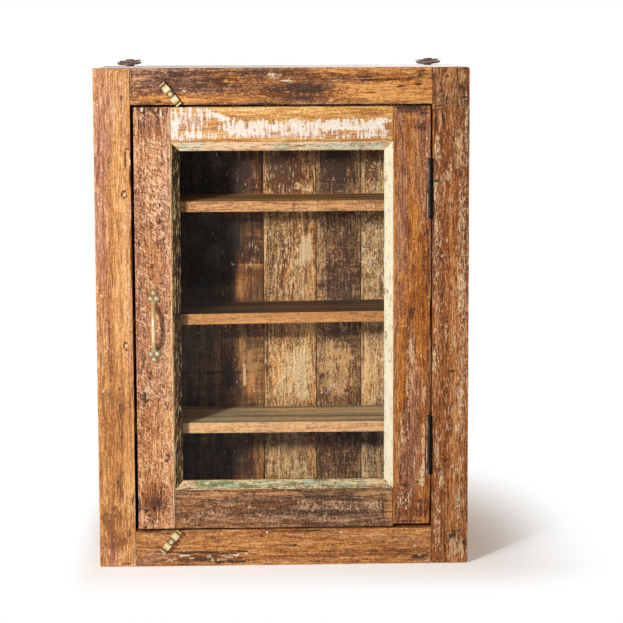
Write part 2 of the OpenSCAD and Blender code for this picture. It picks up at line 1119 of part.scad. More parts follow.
// Domed screws through the lobes into the door's stile
module handle_screw_set(grow = 0) {
    at_handle()
        for (s = [-1, 1], p = lobes(s))
            translate([p[0], p[1], 0]) {
                translate([0, 0, plate_t - lobe_screw_l - grow])
                    cylinder(r = lobe_screw_r + grow, h = lobe_screw_l + grow + grow);
                if (grow == 0)
                    translate([0, 0, plate_t])
                        dome(lobe_head_r, lobe_head_t);
            }
}

// A low round head on the plane z = 0
module dome(r, h) {
    ball = (r * r + h * h) / (2 * h);
    rotate_extrude()
        intersection() {
            translate([0, h - ball])
                circle(r = ball);
            square([r, h]);
        }
}

module handle_screws() {
    color("#b09660") handle_screw_set();
}

side_left();
side_right();
top_board();
bottom_board();
back_plank_1();
back_plank_2();
back_plank_3();
back_plank_4();
back_plank_5();
back_plank_6();
back_plank_7();
frame_stile_left();
frame_stile_right();
frame_rail_top();
frame_rail_bottom();
corner_patch();
shelf_bottom();
shelf_middle();
shelf_top();
batten_bottom_left();
batten_bottom_right();
batten_middle_left();
batten_middle_right();
batten_top_left();
batten_top_right();
case_nails();
frame_nails();
hanger_strap_left();
hanger_strap_right();
hanging_ring_left();
hanging_ring_right();
hanger_screws();
turn_button_top();
turn_button_bottom();
button_screws();
hinge_leaf_frame_top();
hinge_leaf_frame_bottom();
hinge_leaf_door_top();
hinge_leaf_door_bottom();
hinge_pin_top();
hinge_pin_bottom();
hinge_screws_frame();
hinge_screws_door();
door_stile_left();
door_stile_right();
door_rail_top();
door_rail_bottom();
moulding_left();
moulding_right();
moulding_top();
moulding_bottom();
glass_pane();
bead_left();
bead_right();
bead_top();
bead_bottom();
glazing_pins();
handle();
handle_screws();
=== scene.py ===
"""Looks of a small wall cabinet of reclaimed boards with one glazed door."""
import json
import math

import bpy
import numpy as np
from mathutils import Matrix, Vector

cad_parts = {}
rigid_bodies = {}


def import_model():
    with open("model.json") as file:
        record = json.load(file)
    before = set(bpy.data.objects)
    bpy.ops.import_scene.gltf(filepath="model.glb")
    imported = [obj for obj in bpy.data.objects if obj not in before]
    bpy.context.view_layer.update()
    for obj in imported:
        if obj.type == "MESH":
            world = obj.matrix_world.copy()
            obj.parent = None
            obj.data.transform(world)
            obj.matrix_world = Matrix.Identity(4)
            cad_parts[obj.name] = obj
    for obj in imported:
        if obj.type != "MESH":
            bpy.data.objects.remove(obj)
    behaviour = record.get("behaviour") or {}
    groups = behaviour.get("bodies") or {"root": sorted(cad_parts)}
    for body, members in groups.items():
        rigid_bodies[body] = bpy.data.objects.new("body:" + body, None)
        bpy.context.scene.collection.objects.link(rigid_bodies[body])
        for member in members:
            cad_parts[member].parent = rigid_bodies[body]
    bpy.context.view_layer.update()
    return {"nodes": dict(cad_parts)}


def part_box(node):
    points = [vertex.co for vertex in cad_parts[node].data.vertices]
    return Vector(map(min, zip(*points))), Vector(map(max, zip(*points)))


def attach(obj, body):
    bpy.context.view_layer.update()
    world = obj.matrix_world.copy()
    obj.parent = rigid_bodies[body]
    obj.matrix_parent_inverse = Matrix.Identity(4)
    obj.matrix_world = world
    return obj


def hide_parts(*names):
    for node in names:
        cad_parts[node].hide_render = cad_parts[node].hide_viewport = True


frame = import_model()

MM = 0.001

# The camera: place in metres, focal length and picture width in pixels, sensor in millimetres
CAMERA_AT = Vector((-0.0569, -2.7336, 0.6544))
PITCH, YAW, ROLL = (math.radians(a) for a in (7.384, 1.962, -0.224))
FOCAL_PX = 2243
IMAGE = 623
SENSOR = 36

# Planes of the case and the axis of the hinges, in metres
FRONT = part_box("frame_stile_left")[0].y
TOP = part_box("frame_stile_left")[1].z
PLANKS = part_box("back_plank_3")[0].y
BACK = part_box("back_plank_3")[1].y
HINGE_AXIS = (175.1 * MM, -76.5 * MM)

# What a board's mesh carries for its material, and how soft the edge of each layer's marks is
LAYERS = {"tone": 0.9, "hue": 1.0, "paint": 0.5, "stain": 0.5, "fleck": 0.8}


def camera_axes():
    """Right, up and forward of the camera."""
    forward = Vector((math.sin(YAW) * math.cos(PITCH), math.cos(YAW) * math.cos(PITCH), -math.sin(PITCH)))
    right = Vector((math.cos(YAW), -math.sin(YAW), 0))
    up = right.cross(forward)
    side = math.cos(ROLL) * right + math.sin(ROLL) * up
    top = -math.sin(ROLL) * right + math.cos(ROLL) * up
    return side, top, forward


SIDE, UP, FORWARD = camera_axes()


def on_plane(px, py, plane_y):
    """X and Z of a point of the picture on an upright plane across the case."""
    half = IMAGE / 2
    ray = FORWARD + SIDE * ((px - half) / FOCAL_PX) - UP * ((py - half) / FOCAL_PX)
    hit = CAMERA_AT + ray * ((plane_y - CAMERA_AT.y) / ray.y)
    return hit.x, hit.z


def pixel(plane_y):
    """Size of one pixel of the picture on an upright plane."""
    return (plane_y - CAMERA_AT.y) / FOCAL_PX


# Noise

def cell_value(cell, seed):
    """A mixed-up value from 0 to 1 for each whole cell."""
    c = cell.astype(np.int64).astype(np.uint32)
    h = (c[:, 0] * np.uint32(374761393) + c[:, 1] * np.uint32(668265263)
         + c[:, 2] * np.uint32(2246822519) + np.uint32((seed * 3266489917 + 12345) % 2**32))
    h = (h ^ (h >> np.uint32(13))) * np.uint32(1274126177)
    return (h ^ (h >> np.uint32(16))) / 2**32


def value_noise(points, seed):
    """Smooth noise from 0 to 1 with one cell per unit."""
    base = np.floor(points)
    f = points - base
    f = f * f * (3 - 2 * f)
    total = np.zeros(len(points))
    for corner in range(8):
        o = np.array([corner & 1, corner >> 1 & 1, corner >> 2])
        total += np.prod(np.where(o, f, 1 - f), axis=1) * cell_value(base + o, seed)
    return total


def fbm(points, cell, seed, octaves=3):
    """Layered noise from 0 to 1; cell is the size of the largest features."""
    p = points / np.asarray(cell)
    total, weight, gain = 0, 0, 1
    for k in range(octaves):
        total = total + gain * value_noise(p * 2**k + 17.3 * k, seed + 101 * k)
        weight += gain
        gain *= 0.55
    return total / weight


def smooth(value, lo, hi):
    """Soft step from 0 at lo to 1 at hi."""
    t = np.clip((value - lo) / (hi - lo), 0, 1)
    return t * t * (3 - 2 * t)


# Meshes

RIM = (0, 0.35 * MM, 0.8 * MM, 1.5 * MM, 2.6 * MM)


def grid_lines(lo, hi, step, extra=()):
    """Grid lines from lo to hi, closer together near both ends."""
    count = max(2, round((hi - lo - 2 * RIM[-1]) / step) + 1)
    found = [lo + r for r in RIM] + [hi - r for r in RIM] + list(extra)
    must = sorted(found)
    for line in np.linspace(lo + RIM[-1], hi - RIM[-1], count):
        if min(abs(line - m) for m in must) > 0.35 * step:
            found.append(line)
    return np.array(sorted(set(found)))


def plate_quads(xs, ys, zs, solid):
    """Outward quads round the cells (x, z) that are solid from front to back."""
    ny, nz = len(ys), len(zs)

    def key(i, j, k):
        return (i * ny + j) * nz + k

    quads = []
    i, k = np.nonzero(solid)
    for j, flip in ((0, False), (ny - 1, True)):
        q = np.stack([key(i, j, k), key(i + 1, j, k), key(i + 1, j, k + 1), key(i, j, k + 1)], 1)
        quads.append(q[:, ::-1] if flip else q)
    j = np.arange(ny - 1)
    for axis in (0, 1):
        pad = [(1, 1), (0, 0)] if axis == 0 else [(0, 0), (1, 1)]
        change = np.diff(np.pad(solid, pad).astype(int), axis=axis)
        for sign in (-1, 1):
            a, b = np.nonzero(change == sign)
            a, b, jj = (np.repeat(a, ny - 1), np.repeat(b, ny - 1), np.tile(j, len(a)))
            if axis == 0:
                q = np.stack([key(a, jj, b), key(a, jj + 1, b), key(a, jj + 1, b + 1), key(a, jj, b + 1)], 1)
            else:
                q = np.stack([key(a, jj, b), key(a + 1, jj, b), key(a + 1, jj + 1, b), key(a, jj + 1, b)], 1)
            quads.append(q if sign < 0 else q[:, ::-1])
    quads = np.concatenate(quads)
    keys, index = np.unique(quads, return_inverse=True)
    points = np.stack([xs[keys // (ny * nz)], ys[keys // nz % ny], zs[keys % nz]], 1)
    return points, index.reshape(-1, 4)


def make_object(name, points, faces, material, body, smooth_angle=None):
    """A smooth-shaded mesh object that rides on a body; edges above smooth_angle degrees stay sharp."""
    mesh = bpy.data.meshes.new(name)
    mesh.from_pydata([tuple(p) for p in points], [], [tuple(f) for f in faces])
    mesh.materials.append(material)
    obj = bpy.data.objects.new(name, mesh)
    bpy.context.scene.collection.objects.link(obj)
    if smooth_angle is None:
        mesh.shade_smooth()
    else:
        mesh.shade_flat()
        mesh.set_sharp_from_angle(angle=math.radians(smooth_angle))
        mesh.polygons.foreach_set("use_smooth", [True] * len(mesh.polygons))
    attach(obj, body)
    return obj


def add_attribute(mesh, name, values):
    mesh.attributes.new(name, "FLOAT", "POINT").data.foreach_set("value", np.asarray(values, np.float32))


def read_marks(text):
    """Marks of each layer, from text such as "tone x y half_width half_height amount; ...", in pixels.

    Three more numbers repeat a mark: how many in all, and the steps in x and y.
    """
    marks, layer = {}, None
    for entry in text.replace("\n", ";").split(";"):
        words = entry.split()
        if words and words[0].isalpha():
            layer = marks.setdefault(words.pop(0), [])
        if words:
            numbers = [float(word) for word in words]
            x, y, rx, ry, amount, count, dx, dy = numbers + [1, 0, 0][len(numbers) - 5:]
            layer += [(x + k * dx, y + k * dy, rx, ry, amount) for k in range(int(count))]
    return marks


def spread(points, marks, plane_y, seed, soft=0.55):
    """Sum of soft marks on an upright plane, with ragged edges."""
    total = np.zeros(len(points))
    if not marks:
        return total
    wobble = fbm(points, 6 * MM, seed, 3) - 0.5
    size = pixel(plane_y)
    for px, py, rx, ry, amount in marks:
        x, z = on_plane(px, py, plane_y)
        d = np.hypot((points[:, 0] - x) / (rx * size), (points[:, 2] - z) / (ry * size))
        total += amount * smooth(1.15 - d + 1.0 * wobble, 0, soft)
    return total


def board(material, node, name=None, seed=1, grain="z", lo=None, hi=None, step=MM, edge=0.8 * MM, rough=1.0,
          marks="", dents=(), rims=(), plane=FRONT, lines_x=(), lines_y=(), lines_z=(), solid=None,
          shape=None):
    """A worn board in place of a CAD node: rounded, uneven edges, a slightly uneven face, chips and dents.

    A dent is (x, y, z, radius, depth). A rim is (layer, axis, side, width in mm, amount). solid says which
    cells (x, z) are there, shape moves the finished points, and plane is where the marks are measured.
    """
    box_lo, box_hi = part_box(node)
    lo = np.array(lo if lo is not None else box_lo)
    hi = np.array(hi if hi is not None else box_hi)
    marks = read_marks(marks)
    xs = grid_lines(lo[0], hi[0], step, lines_x)
    zs = grid_lines(lo[2], hi[2], step, lines_z)
    ys = grid_lines(lo[1], hi[1], max(3 * step, 4 * MM), lines_y)
    cells = np.ones((len(xs) - 1, len(zs) - 1), bool)
    if solid is not None:
        cells = solid((xs[1:] + xs[:-1])[:, None] / 2, (zs[1:] + zs[:-1])[None, :] / 2)
    rest, faces = plate_quads(xs, ys, zs, cells)

    # Rounded edges, more worn in some places
    wear_noise = fbm(rest, (9 * MM, 9 * MM, 9 * MM), seed, 3)
    radius = edge * (0.45 + 3.2 * np.clip(wear_noise - 0.38, 0, 1) ** 1.3 * rough)
    radius = np.minimum(radius, 0.42 * (hi - lo).min())[:, None]
    core = np.clip(rest, lo + radius, hi - radius)
    normal = rest - core
    length = np.linalg.norm(normal, axis=1)[:, None]
    normal /= np.maximum(length, 1e-9)
    points = core + normal * np.minimum(radius, length * 1e6)

    # Uneven face: slow waves and ridges along the grain, always inwards
    axis = {"x": 0, "y": 1, "z": 2}[grain]
    ridge = np.full(3, 3.2 * MM)
    ridge[axis] = 70 * MM
    depth = 0.28 * MM * rough * fbm(rest, 45 * MM, seed + 5, 2)
    depth += 0.2 * MM * rough * fbm(rest, ridge, seed + 9, 2)
    size = pixel(plane)
    rag = fbm(rest, 4 * MM, seed + 13, 3) - 0.5
    for px, py, rx, ry, deep in marks.get("chip", ()):
        x, z = on_plane(px, py, plane)
        d = np.hypot((rest[:, 0] - x) / (rx * size), (rest[:, 2] - z) / (ry * size))
        near = smooth((plane + 9 * MM - rest[:, 1]) / (5 * MM), 0, 1)
        depth += deep * MM * near * smooth(1.15 - d + 1.3 * rag, 0, 0.35)
    for x, y, z, r, deep in dents:
        d = np.linalg.norm(rest - np.array((x, y, z)), axis=1) / r
        depth += deep * smooth(1.1 - d + 0.25 * rag, 0, 0.3)
    points = points - normal * depth[:, None]
    if shape:
        points = shape(points, rest)

    obj = make_object(name or "board_" + node, points, faces, material,
                      "door" if node.startswith("door_") else "cabinet")
    mesh = obj.data
    near_edge = np.sort(np.minimum(rest - lo, hi - rest), axis=1)[:, 1]
    add_attribute(mesh, "wear", np.exp(-near_edge / (1.5 * MM)) * (0.25 + 1.5 * wear_noise)
                  + np.clip(depth / MM - 0.5, 0, 1))
    layers = {layer: spread(rest, marks.get(layer), plane, seed + 21 + 13 * k, soft)
              for k, (layer, soft) in enumerate(LAYERS.items())}
    for layer, axis_no, side, width, amount in rims:
        away = rest[:, axis_no] - lo[axis_no] if side < 0 else hi[axis_no] - rest[:, axis_no]
        layers[layer] += amount * smooth(width * MM - away, 0, 0.5 * MM)
    for layer, values in layers.items():
        add_attribute(mesh, layer, values)
    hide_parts(node)
    return obj


# Materials

def rgb(code, gain=1.0):
    """Linear colour of a hex code times a gain, one or one for each channel, within what surfaces keep."""
    parts = [int(code[i:i + 2], 16) / 255 for i in (0, 2, 4)]
    linear = [p / 12.92 if p <= 0.04045 else ((p + 0.055) / 1.055) ** 2.4 for p in parts]
    gains = (gain,) * 3 if isinstance(gain, (int, float)) else gain
    lit = [g * p for g, p in zip(gains, linear)]
    fit = min(1.0, 0.92 / max(max(lit), 1e-6))
    return tuple(fit * p for p in lit) + (1.0,)


class Tree:
    """The node tree of a new material, or of the world, with short ways to add the nodes used here."""

    def __init__(self, owner):
        self.owner = bpy.data.materials.new(owner) if isinstance(owner, str) else owner
        self.owner.use_nodes = True
        self.tree = self.owner.node_tree
        self.tree.nodes.clear()
        self.coordinates = self.add("ShaderNodeTexCoord").outputs
        self.place = self.coordinates["Object"]

    def add(self, kind, inputs=None, **props):
        node = self.tree.nodes.new(kind)
        for key, value in props.items():
            setattr(node, key, value)
        for key, value in (inputs or {}).items():
            self.put(node.inputs[key], value)
        return node

    def put(self, socket, value):
        if isinstance(value, bpy.types.NodeSocket):
            self.tree.links.new(value, socket)
        else:
            socket.default_value = value

    def math(self, op, a, b=0.0, c=0.0):
        return self.add("ShaderNodeMath", {0: a, 1: b, 2: c}, operation=op).outputs[0]

    def total(self, start, *terms):
        """start plus each (value, factor)."""
        out = start
        for value, factor in terms:
            out = self.math("MULTIPLY_ADD", value, factor, out)
        return out

    def centred(self, value, factor):
        """(value - 0.5) * factor"""
        return self.math("MULTIPLY_ADD", value, factor, -0.5 * factor)

    def swing(self, start, *terms):
        """start plus each (value - 0.5) * factor."""
        return self.total(start, *((self.centred(value, 1.0), factor) for value, factor in terms))

    def step(self, value, lo, hi):
        node = self.add("ShaderNodeMapRange", {0: value, 1: lo, 2: hi}, interpolation_type="SMOOTHSTEP")
        return node.outputs[0]

    def scaled(self, vector, scale, shift=(0, 0, 0)):
        node = self.add("ShaderNodeVectorMath", {0: vector, 1: scale, 2: shift}, operation="MULTIPLY_ADD")
        return node.outputs[0]

    def noise(self, vector, detail=3.0, roughness=0.55, output="Fac"):
        node = self.add("ShaderNodeTexNoise", {"Vector": vector, "Scale": 1.0, "Detail": detail,
                                               "Roughness": roughness})
        return node.outputs[output]

    def cloud(self, cells, detail=3.0, roughness=0.55):
        """Noise with a number of cells per metre, the same along each axis or one for each."""
        scale = [cells] * 3 if isinstance(cells, (int, float)) else cells
        return self.noise(self.scaled(self.place, scale), detail, roughness)

    def axes(self):
        """X, Y and Z of the place."""
        return self.add("ShaderNodeSeparateXYZ", {0: self.place}).outputs

    def ramp(self, value, stops):
        """Colours at their positions, as (position, hex code or colour)."""
        node = self.add("ShaderNodeValToRGB", {0: value})
        elements = node.color_ramp.elements
        while len(elements) < len(stops):
            elements.new(0.5)
        for element, (position, colour) in zip(elements, stops):
            element.position = position
            element.color = rgb(colour) if isinstance(colour, str) else colour
        return node.outputs[0]

    def mix(self, factor, a, b):
        node = self.add("ShaderNodeMix", data_type="RGBA")
        for key, value in ((0, factor), (6, a), (7, b)):
            self.put(node.inputs[key], value)
        return node.outputs[2]

    def attribute(self, name):
        return self.add("ShaderNodeAttribute", attribute_name=name).outputs["Fac"]

    def surface(self, colour, roughness, height, bump, depth, **constants):
        shader = self.add("ShaderNodeBsdfPrincipled", {"Base Color": colour, "Roughness": roughness})
        for key, value in constants.items():
            shader.inputs[key.replace("_", " ")].default_value = value
        node = self.add("ShaderNodeBump", {"Strength": bump, "Distance": depth, "Height": height})
        self.put(shader.inputs["Normal"], node.outputs[0])
        self.add("ShaderNodeOutputMaterial", {"Surface": shader.outputs[0]})
        return self.owner


# Where the five tones of a wood lie, and the usual colours of paint
RAMP_AT = (0.03, 0.22, 0.5, 0.78, 0.97)
CREAM = ("c9a67c", "f3dfba")


def wood(name, cool, warm=None, grain="z", seed=0, hue=0.5, contrast=1.0, streak=1.2, pore=1.8, mottle=0.7,
         grit=1.8, saw=0.0, cracks=0.6, flecks=None, fleck=0.3, clumps=1.2, fleck_colour="ecc8a0", pits=0.4,
         paint_colours=CREAM, paint_noise=None, paint_rough=1.0, paint_bands=0.0,
         stain_colours=("21140c", "553a28"), edge_colour=None, edge_amount=0.35, bump=0.5, roughness=0.62,
         gain=1.0):
    """Old wood in a dull and a warm hue: tones along the grain, saw marks, pits, light flecks and worn paint.

    cool and warm are five colours from dark to light. flecks and paint_noise give noises by their lean in
    degrees and the cells per metre across and along it, and paint_noise a weight too.
    """
    t = Tree(name)
    warm = warm or cool
    lean = 90 if grain == "x" else 0

    def along(angle, across, length, detail=3.0, roughness=0.6, extra=0.0, vector=None):
        """Noise stretched along a line that leans by an angle from upright, in cells per metre."""
        turned = t.add("ShaderNodeVectorRotate", {0: vector or t.place, 3: math.radians(-angle)},
                       rotation_type="Y_AXIS").outputs[0]
        scale = (across, length, across) if grain == "y" else (across, across, length)
        shift = (seed * 3.7 + extra, seed * 1.9, seed * 5.3)
        return t.noise(t.scaled(turned, scale, shift), detail, roughness)

    wander = t.noise(t.scaled(t.place, (9, 9, 9), (seed, 0, 0)), 2, output="Color")
    warped = t.add("ShaderNodeVectorMath", {0: wander, 1: [0.014] * 3, 2: t.place},
                   operation="MULTIPLY_ADD").outputs[0]
    bands = along(lean, 55, 2.6, 2, 0.5, 0, warped)
    streaks = along(lean, 330, 8, 4, 0.7, 1, warped)
    pores = along(lean, 700, 45, 3, 0.65, 2, warped)
    mottles = along(lean, 130, 70, 4, 0.7, 3)
    grits = along(lean, 620, 400, 3, 0.65, 4)
    tone = t.math("MULTIPLY_ADD", t.attribute("tone"), 0.5, 0.5)
    for value, factor in ((bands, 1.0), (streaks, streak), (pores, pore), (mottles, mottle), (grits, grit)):
        tone = t.math("ADD", tone, t.centred(value, 1.35 * contrast * factor))
    height = t.total(0.0, (streaks, 0.5), (pores, 0.4), (grits, 0.3))
    if saw:
        teeth = along(lean, 14, 170, 4, 0.75, 5)
        where = t.step(along(lean, 30, 22, 2, 0.5, 6), 0.4, 0.6)
        teeth = t.math("MULTIPLY", t.centred(teeth, 1.0), where)
        tone = t.total(tone, (teeth, saw))
        height = t.total(height, (teeth, 0.8))
    ramps = [t.ramp(tone, [(at, rgb(code, gain)) for at, code in zip(RAMP_AT, palette.split())])
             for palette in (cool, warm)]
    hues = t.swing(t.total(hue, (t.attribute("hue"), 0.6)), (along(lean, 70, 6, 4, 0.65, 7, warped), 2.2),
                   (grits, 0.6))
    colour = t.mix(t.step(hues, 0.2, 0.8), *ramps)

    # Light flecks and dark pits
    specks = None
    for n, (angle, across, length) in enumerate(flecks or ((lean, 600, 120),)):
        one = along(angle, across, length, 3, 0.6, 8 + n)
        specks = one if specks is None else t.math("MAXIMUM", specks, one)
    dense = t.swing(t.total(fleck, (t.attribute("fleck"), 0.6)), (mottles, clumps))
    level = t.total(specks, (dense, 0.2))
    speck_mask = t.math("MULTIPLY", t.step(level, 0.69, 0.75), 0.8)
    colour = t.mix(speck_mask, colour, rgb(fleck_colour))
    if pits:
        holes = along(lean, 560, 90, 3, 0.65, 12)
        holes = t.math("MULTIPLY", t.step(holes, 0.40, 0.33), pits)
        colour = t.mix(holes, colour, rgb("24150c", gain))
        height = t.total(height, (holes, -0.9))
    if cracks:
        hair = t.math("ABSOLUTE", t.centred(along(lean, 100, 3.5, 3, 0.6, 15, warped), 1.0))
        hair = t.math("MULTIPLY", t.step(hair, 0.011, 0.003), t.step(mottles, 0.5, 0.58))
        hair = t.math("MULTIPLY", hair, cracks)
        colour = t.mix(hair, colour, rgb("2c1a10", gain))
        height = t.total(height, (hair, -1.0))

    # Worn paint in two layers
    paint_noise = paint_noise or ((lean, 430, 60, 3.0), (lean, 1000, 300, 1.5))
    sources = [along(*spec[:3], 3, 0.65, 20 + n) for n, spec in enumerate(paint_noise)]
    weights = [spec[3] for spec in paint_noise]
    patchy = along(0, 260, 200, 4, 0.7, 25)
    for layer, colours in (("paint", paint_colours), ("stain", stain_colours)):
        there = t.attribute(layer)
        cover = t.swing(there, (patchy, 1.2 * paint_rough))
        for source, weight in zip(sources, weights):
            cover = t.math("ADD", cover, t.centred(source, weight * paint_rough))
        mask = t.math("MULTIPLY", t.step(cover, 0.46, 0.58), t.step(there, 0.02, 0.15))
        shade = t.ramp(t.swing(0.5, (grits, 1.6), (streaks, 1.4), (bands, paint_bands)),
                       [(0.15, colours[0]), (0.8, colours[1])])
        colour = t.mix(mask, colour, shade)
        height = t.total(height, (mask, 0.6))
    wear = t.step(t.swing(t.attribute("wear"), (mottles, 1.6)), 0.55, 1.1)
    colour = t.mix(t.math("MULTIPLY", wear, edge_amount), colour, rgb(edge_colour or warm.split()[3], gain))
    rough = t.swing(roughness, (streaks, 0.35))
    return t.surface(colour, rough, height, bump, 0.7 * MM, Specular_IOR_Level=0.3)


def iron(name, dark, base, light, roughness):
    """Rusty, pitted iron in three tones."""
    t = Tree(name)
    spots = t.cloud(420, 5, 0.7)
    pits = t.cloud(1700)
    colour = t.ramp(spots, [(0.34, dark), (0.5, base), (0.7, light)])
    return t.surface(colour, t.swing(roughness, (spots, 0.6)), t.total(0.0, (spots, 0.6), (pits, 0.4)),
                     0.5, 0.4 * MM, Metallic=0.5)


def hinge_iron(name):
    """Worn iron, with painted shade in near black on the side of the gap and painted highlights as pale spots
    on the other side of the axis.
    """
    t = Tree(name)
    spots = t.cloud((420, 420, 120), 5, 0.7)
    colour = t.ramp(spots, [(0.36, "150d0a"), (0.52, "36241b"), (0.7, "94745c")])
    side = t.axes()[0]
    # Painted shade: near black on the side of the gap, right of the hinge axis
    gap_shade = t.step(t.swing(side, (spots, 1.0 * MM)), HINGE_AXIS[0] - 0.2 * MM, HINGE_AXIS[0] + 0.9 * MM)
    # Painted highlight: pale spots on the side away from the gap, left of the axis
    near = t.step(side, HINGE_AXIS[0] - 1.4 * MM, HINGE_AXIS[0] - 2.6 * MM)
    colour = t.mix(t.math("MULTIPLY", near, t.step(spots, 0.42, 0.56)), colour, rgb("b49a86"))
    colour = t.mix(gap_shade, colour, rgb("0e0b0a"))
    rough = t.total(t.swing(0.5, (spots, 0.6)), (gap_shade, 0.3))
    return t.surface(colour, rough, spots, 0.6, 0.4 * MM, Metallic=0.0, Specular_IOR_Level=0.2)


def nails(name):
    """Worn heads, wood-brown on the left half of the cabinet and pale on the right."""
    t = Tree(name)
    spots = t.cloud(900, 4, 0.7)
    pale = t.ramp(spots, [(0.35, "5a4034"), (0.5, "a07c64"), (0.65, "e8ccb4")])
    brown = t.ramp(spots, [(0.35, "8a5a3a"), (0.5, "b07c50"), (0.7, "d8a880")])
    colour = t.mix(t.step(t.axes()[0], -0.02, 0.02), brown, pale)
    return t.surface(colour, t.swing(0.6, (spots, 0.5)), spots, 0.6, 0.4 * MM, Metallic=0.2)


def brass(name, dull, mid, bright, plate_dirt_and_shade, metallic, roughness=0.36):
    """Old brass; its fifth argument darkens what lies close to the wood, with dirt and painted shade."""
    t = Tree(name)
    cloud = t.cloud(160, 3, 0.6)
    fine = t.cloud(1500)
    colour = t.ramp(t.swing(0.5, (cloud, 0.9), (fine, 0.5)), [(0.2, dull), (0.45, mid), (0.75, bright)])
    if plate_dirt_and_shade:
        # Dirt and painted shade: darker within a few millimetres of the wood
        low = t.step(t.axes()[1], FRONT - 4.5 * MM, FRONT - 1.5 * MM)
        colour = t.mix(t.math("MULTIPLY", low, plate_dirt_and_shade), colour, rgb("3c2e1c"))
    return t.surface(colour, t.swing(roughness, (cloud, -0.4)), t.total(0.0, (fine, 0.5), (cloud, 0.5)),
                     0.25, 0.3 * MM, Metallic=metallic)


# The turn buttons: their lean from upright, half their length, and colours from the middle to the ends, which
# paint shade and highlights
BUTTON_LEAN = math.radians(39)
BUTTON_HALF = 16.2 * MM
BUTTON_SHADE_AND_HIGHLIGHTS = ((0.0, "8a6a40"), (0.16, "7a5c38"), (0.22, "38281a"), (0.27, "d4b47c"), (0.45, "fbe8ba"),
               (0.68, "dab67a"), (0.80, "6a4c28"), (0.88, "2a1c10"), (0.92, "f0dcac"), (1.0, "d0a860"))


def button_brass(name, node, turn):
    """Brass plate with painted shade in the corners before the lips and round the middle, and painted
    highlights on the arms and lips; turn is the lean's side.
    """
    t = Tree(name)
    middle = (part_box(node)[0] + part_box(node)[1]) / 2
    x, _, z = t.axes()
    sideways = t.math("MULTIPLY", t.math("SUBTRACT", x, middle.x), turn * math.sin(BUTTON_LEAN))
    up = t.math("MULTIPLY", t.math("SUBTRACT", z, middle.z), math.cos(BUTTON_LEAN))
    far = t.math("DIVIDE", t.math("ABSOLUTE", t.math("ADD", sideways, up)), BUTTON_HALF)
    fine = t.cloud(700, 4, 0.7)
    colour = t.ramp(t.swing(far, (fine, 0.12)), BUTTON_SHADE_AND_HIGHLIGHTS)
    return t.surface(colour, t.swing(0.34, (fine, 0.4)), fine, 0.25, 0.3 * MM, Metallic=0.45)


def glass(name):
    """Clear glass with a little dust, which lets the lamps' light through."""
    t = Tree(name)
    speck = t.add("ShaderNodeTexVoronoi", {"Vector": t.scaled(t.place, [260] * 3)}, feature="F1")
    shade = t.add("ShaderNodeSeparateColor", {0: speck.outputs["Color"]}).outputs[0]
    few = t.math("GREATER_THAN", shade, 0.955)
    dot = t.math("MULTIPLY", t.step(speck.outputs["Distance"], 0.13, 0.07), few)
    smear = t.step(t.cloud((30, 30, 45), 4), 0.5, 0.8)
    dust = t.total(t.math("MULTIPLY", dot, 0.8), (smear, 0.012))
    clear = t.add("ShaderNodeBsdfPrincipled", {"Base Color": (1, 1, 1, 1), "Roughness": 0.02, "IOR": 1.16,
                                               "Transmission Weight": 1.0})
    dirt = t.add("ShaderNodeBsdfDiffuse", {"Color": rgb("e8e4dc")})
    pane = t.add("ShaderNodeMixShader", {0: dust, 1: clear.outputs[0], 2: dirt.outputs[0]})
    open_way = t.add("ShaderNodeBsdfTransparent", {"Color": (1, 1, 1, 1)})
    path = t.add("ShaderNodeLightPath").outputs
    passing = t.math("MAXIMUM", path["Is Shadow Ray"], path["Is Diffuse Ray"])
    both = t.add("ShaderNodeMixShader", {0: passing, 1: pane.outputs[0], 2: open_way.outputs[0]})
    t.add("ShaderNodeOutputMaterial", {"Surface": both.outputs[0]})
    return t.owner


# Boards

NAIL_DENT = (2.9 * MM, 0.5 * MM)
CASE_NAIL_Y = (-41 * MM, 4 * MM, 49 * MM)
NAIL_X = 210 * MM
FRONT_NAILS = [(sx * NAIL_X, FRONT, z * MM, *NAIL_DENT) for sx in (-1, 1) for z in (74, 215, 331, 524)]
FRONT_NAILS += [(x * MM, FRONT, z * MM, *NAIL_DENT)
                for x, z in ((191, 375.5), (183.4, 140.3), (190.8, 111.8), (212.1, 248))]
END_NAILS = [(sx * NAIL_X, y, z, *NAIL_DENT) for sx in (-1, 1) for y in CASE_NAIL_Y for z in (0, TOP)]
BACK_NAILS = [(x * MM, BACK, z, *NAIL_DENT) for x in (-161, -108, -47.5, 12, 73, 129.5, 171.5)
              for z in (7 * MM, TOP - 7 * MM)]

STILE_LEFT = wood(
    "wood frame stile left", "84503a aa6a4a c28260 d89e78 eec4a0", "98602e c27e44 da9854 ecb270 f8ca90",
    seed=1, hue=0.65, contrast=0.85, mottle=0.3, grit=1.4, fleck=0.0, fleck_colour="f0cca4", pits=0.5,
    gain=(0.9, 0.865, 0.84), stain_colours=("3a2418", "7a5238"))
RAIL_TOP = wood(
    "wood frame rail top", "4c2c1c 6c4630 85583e a6755a d0a284", "7a4418 a8682e c8843f dc9a52 f2b46c",
    grain="x", seed=2, contrast=0.95, fleck=0.25, fleck_colour="d8ae88", pits=0.6, cracks=0.9,
    gain=(0.94, 0.86, 0.76))
RAIL_BOTTOM = wood(
    "wood frame rail bottom", "5c3a28 8a5c3c a27050 b88464 d4a480", "6e4020 9e6434 bc7c40 cc9050 e4b07c",
    grain="x", seed=3, hue=0.7, contrast=0.9, fleck=0.1, pits=0.6, fleck_colour="e0b488",
    edge_colour="6a4630", edge_amount=0.4, gain=(1.02, 0.95, 0.86))
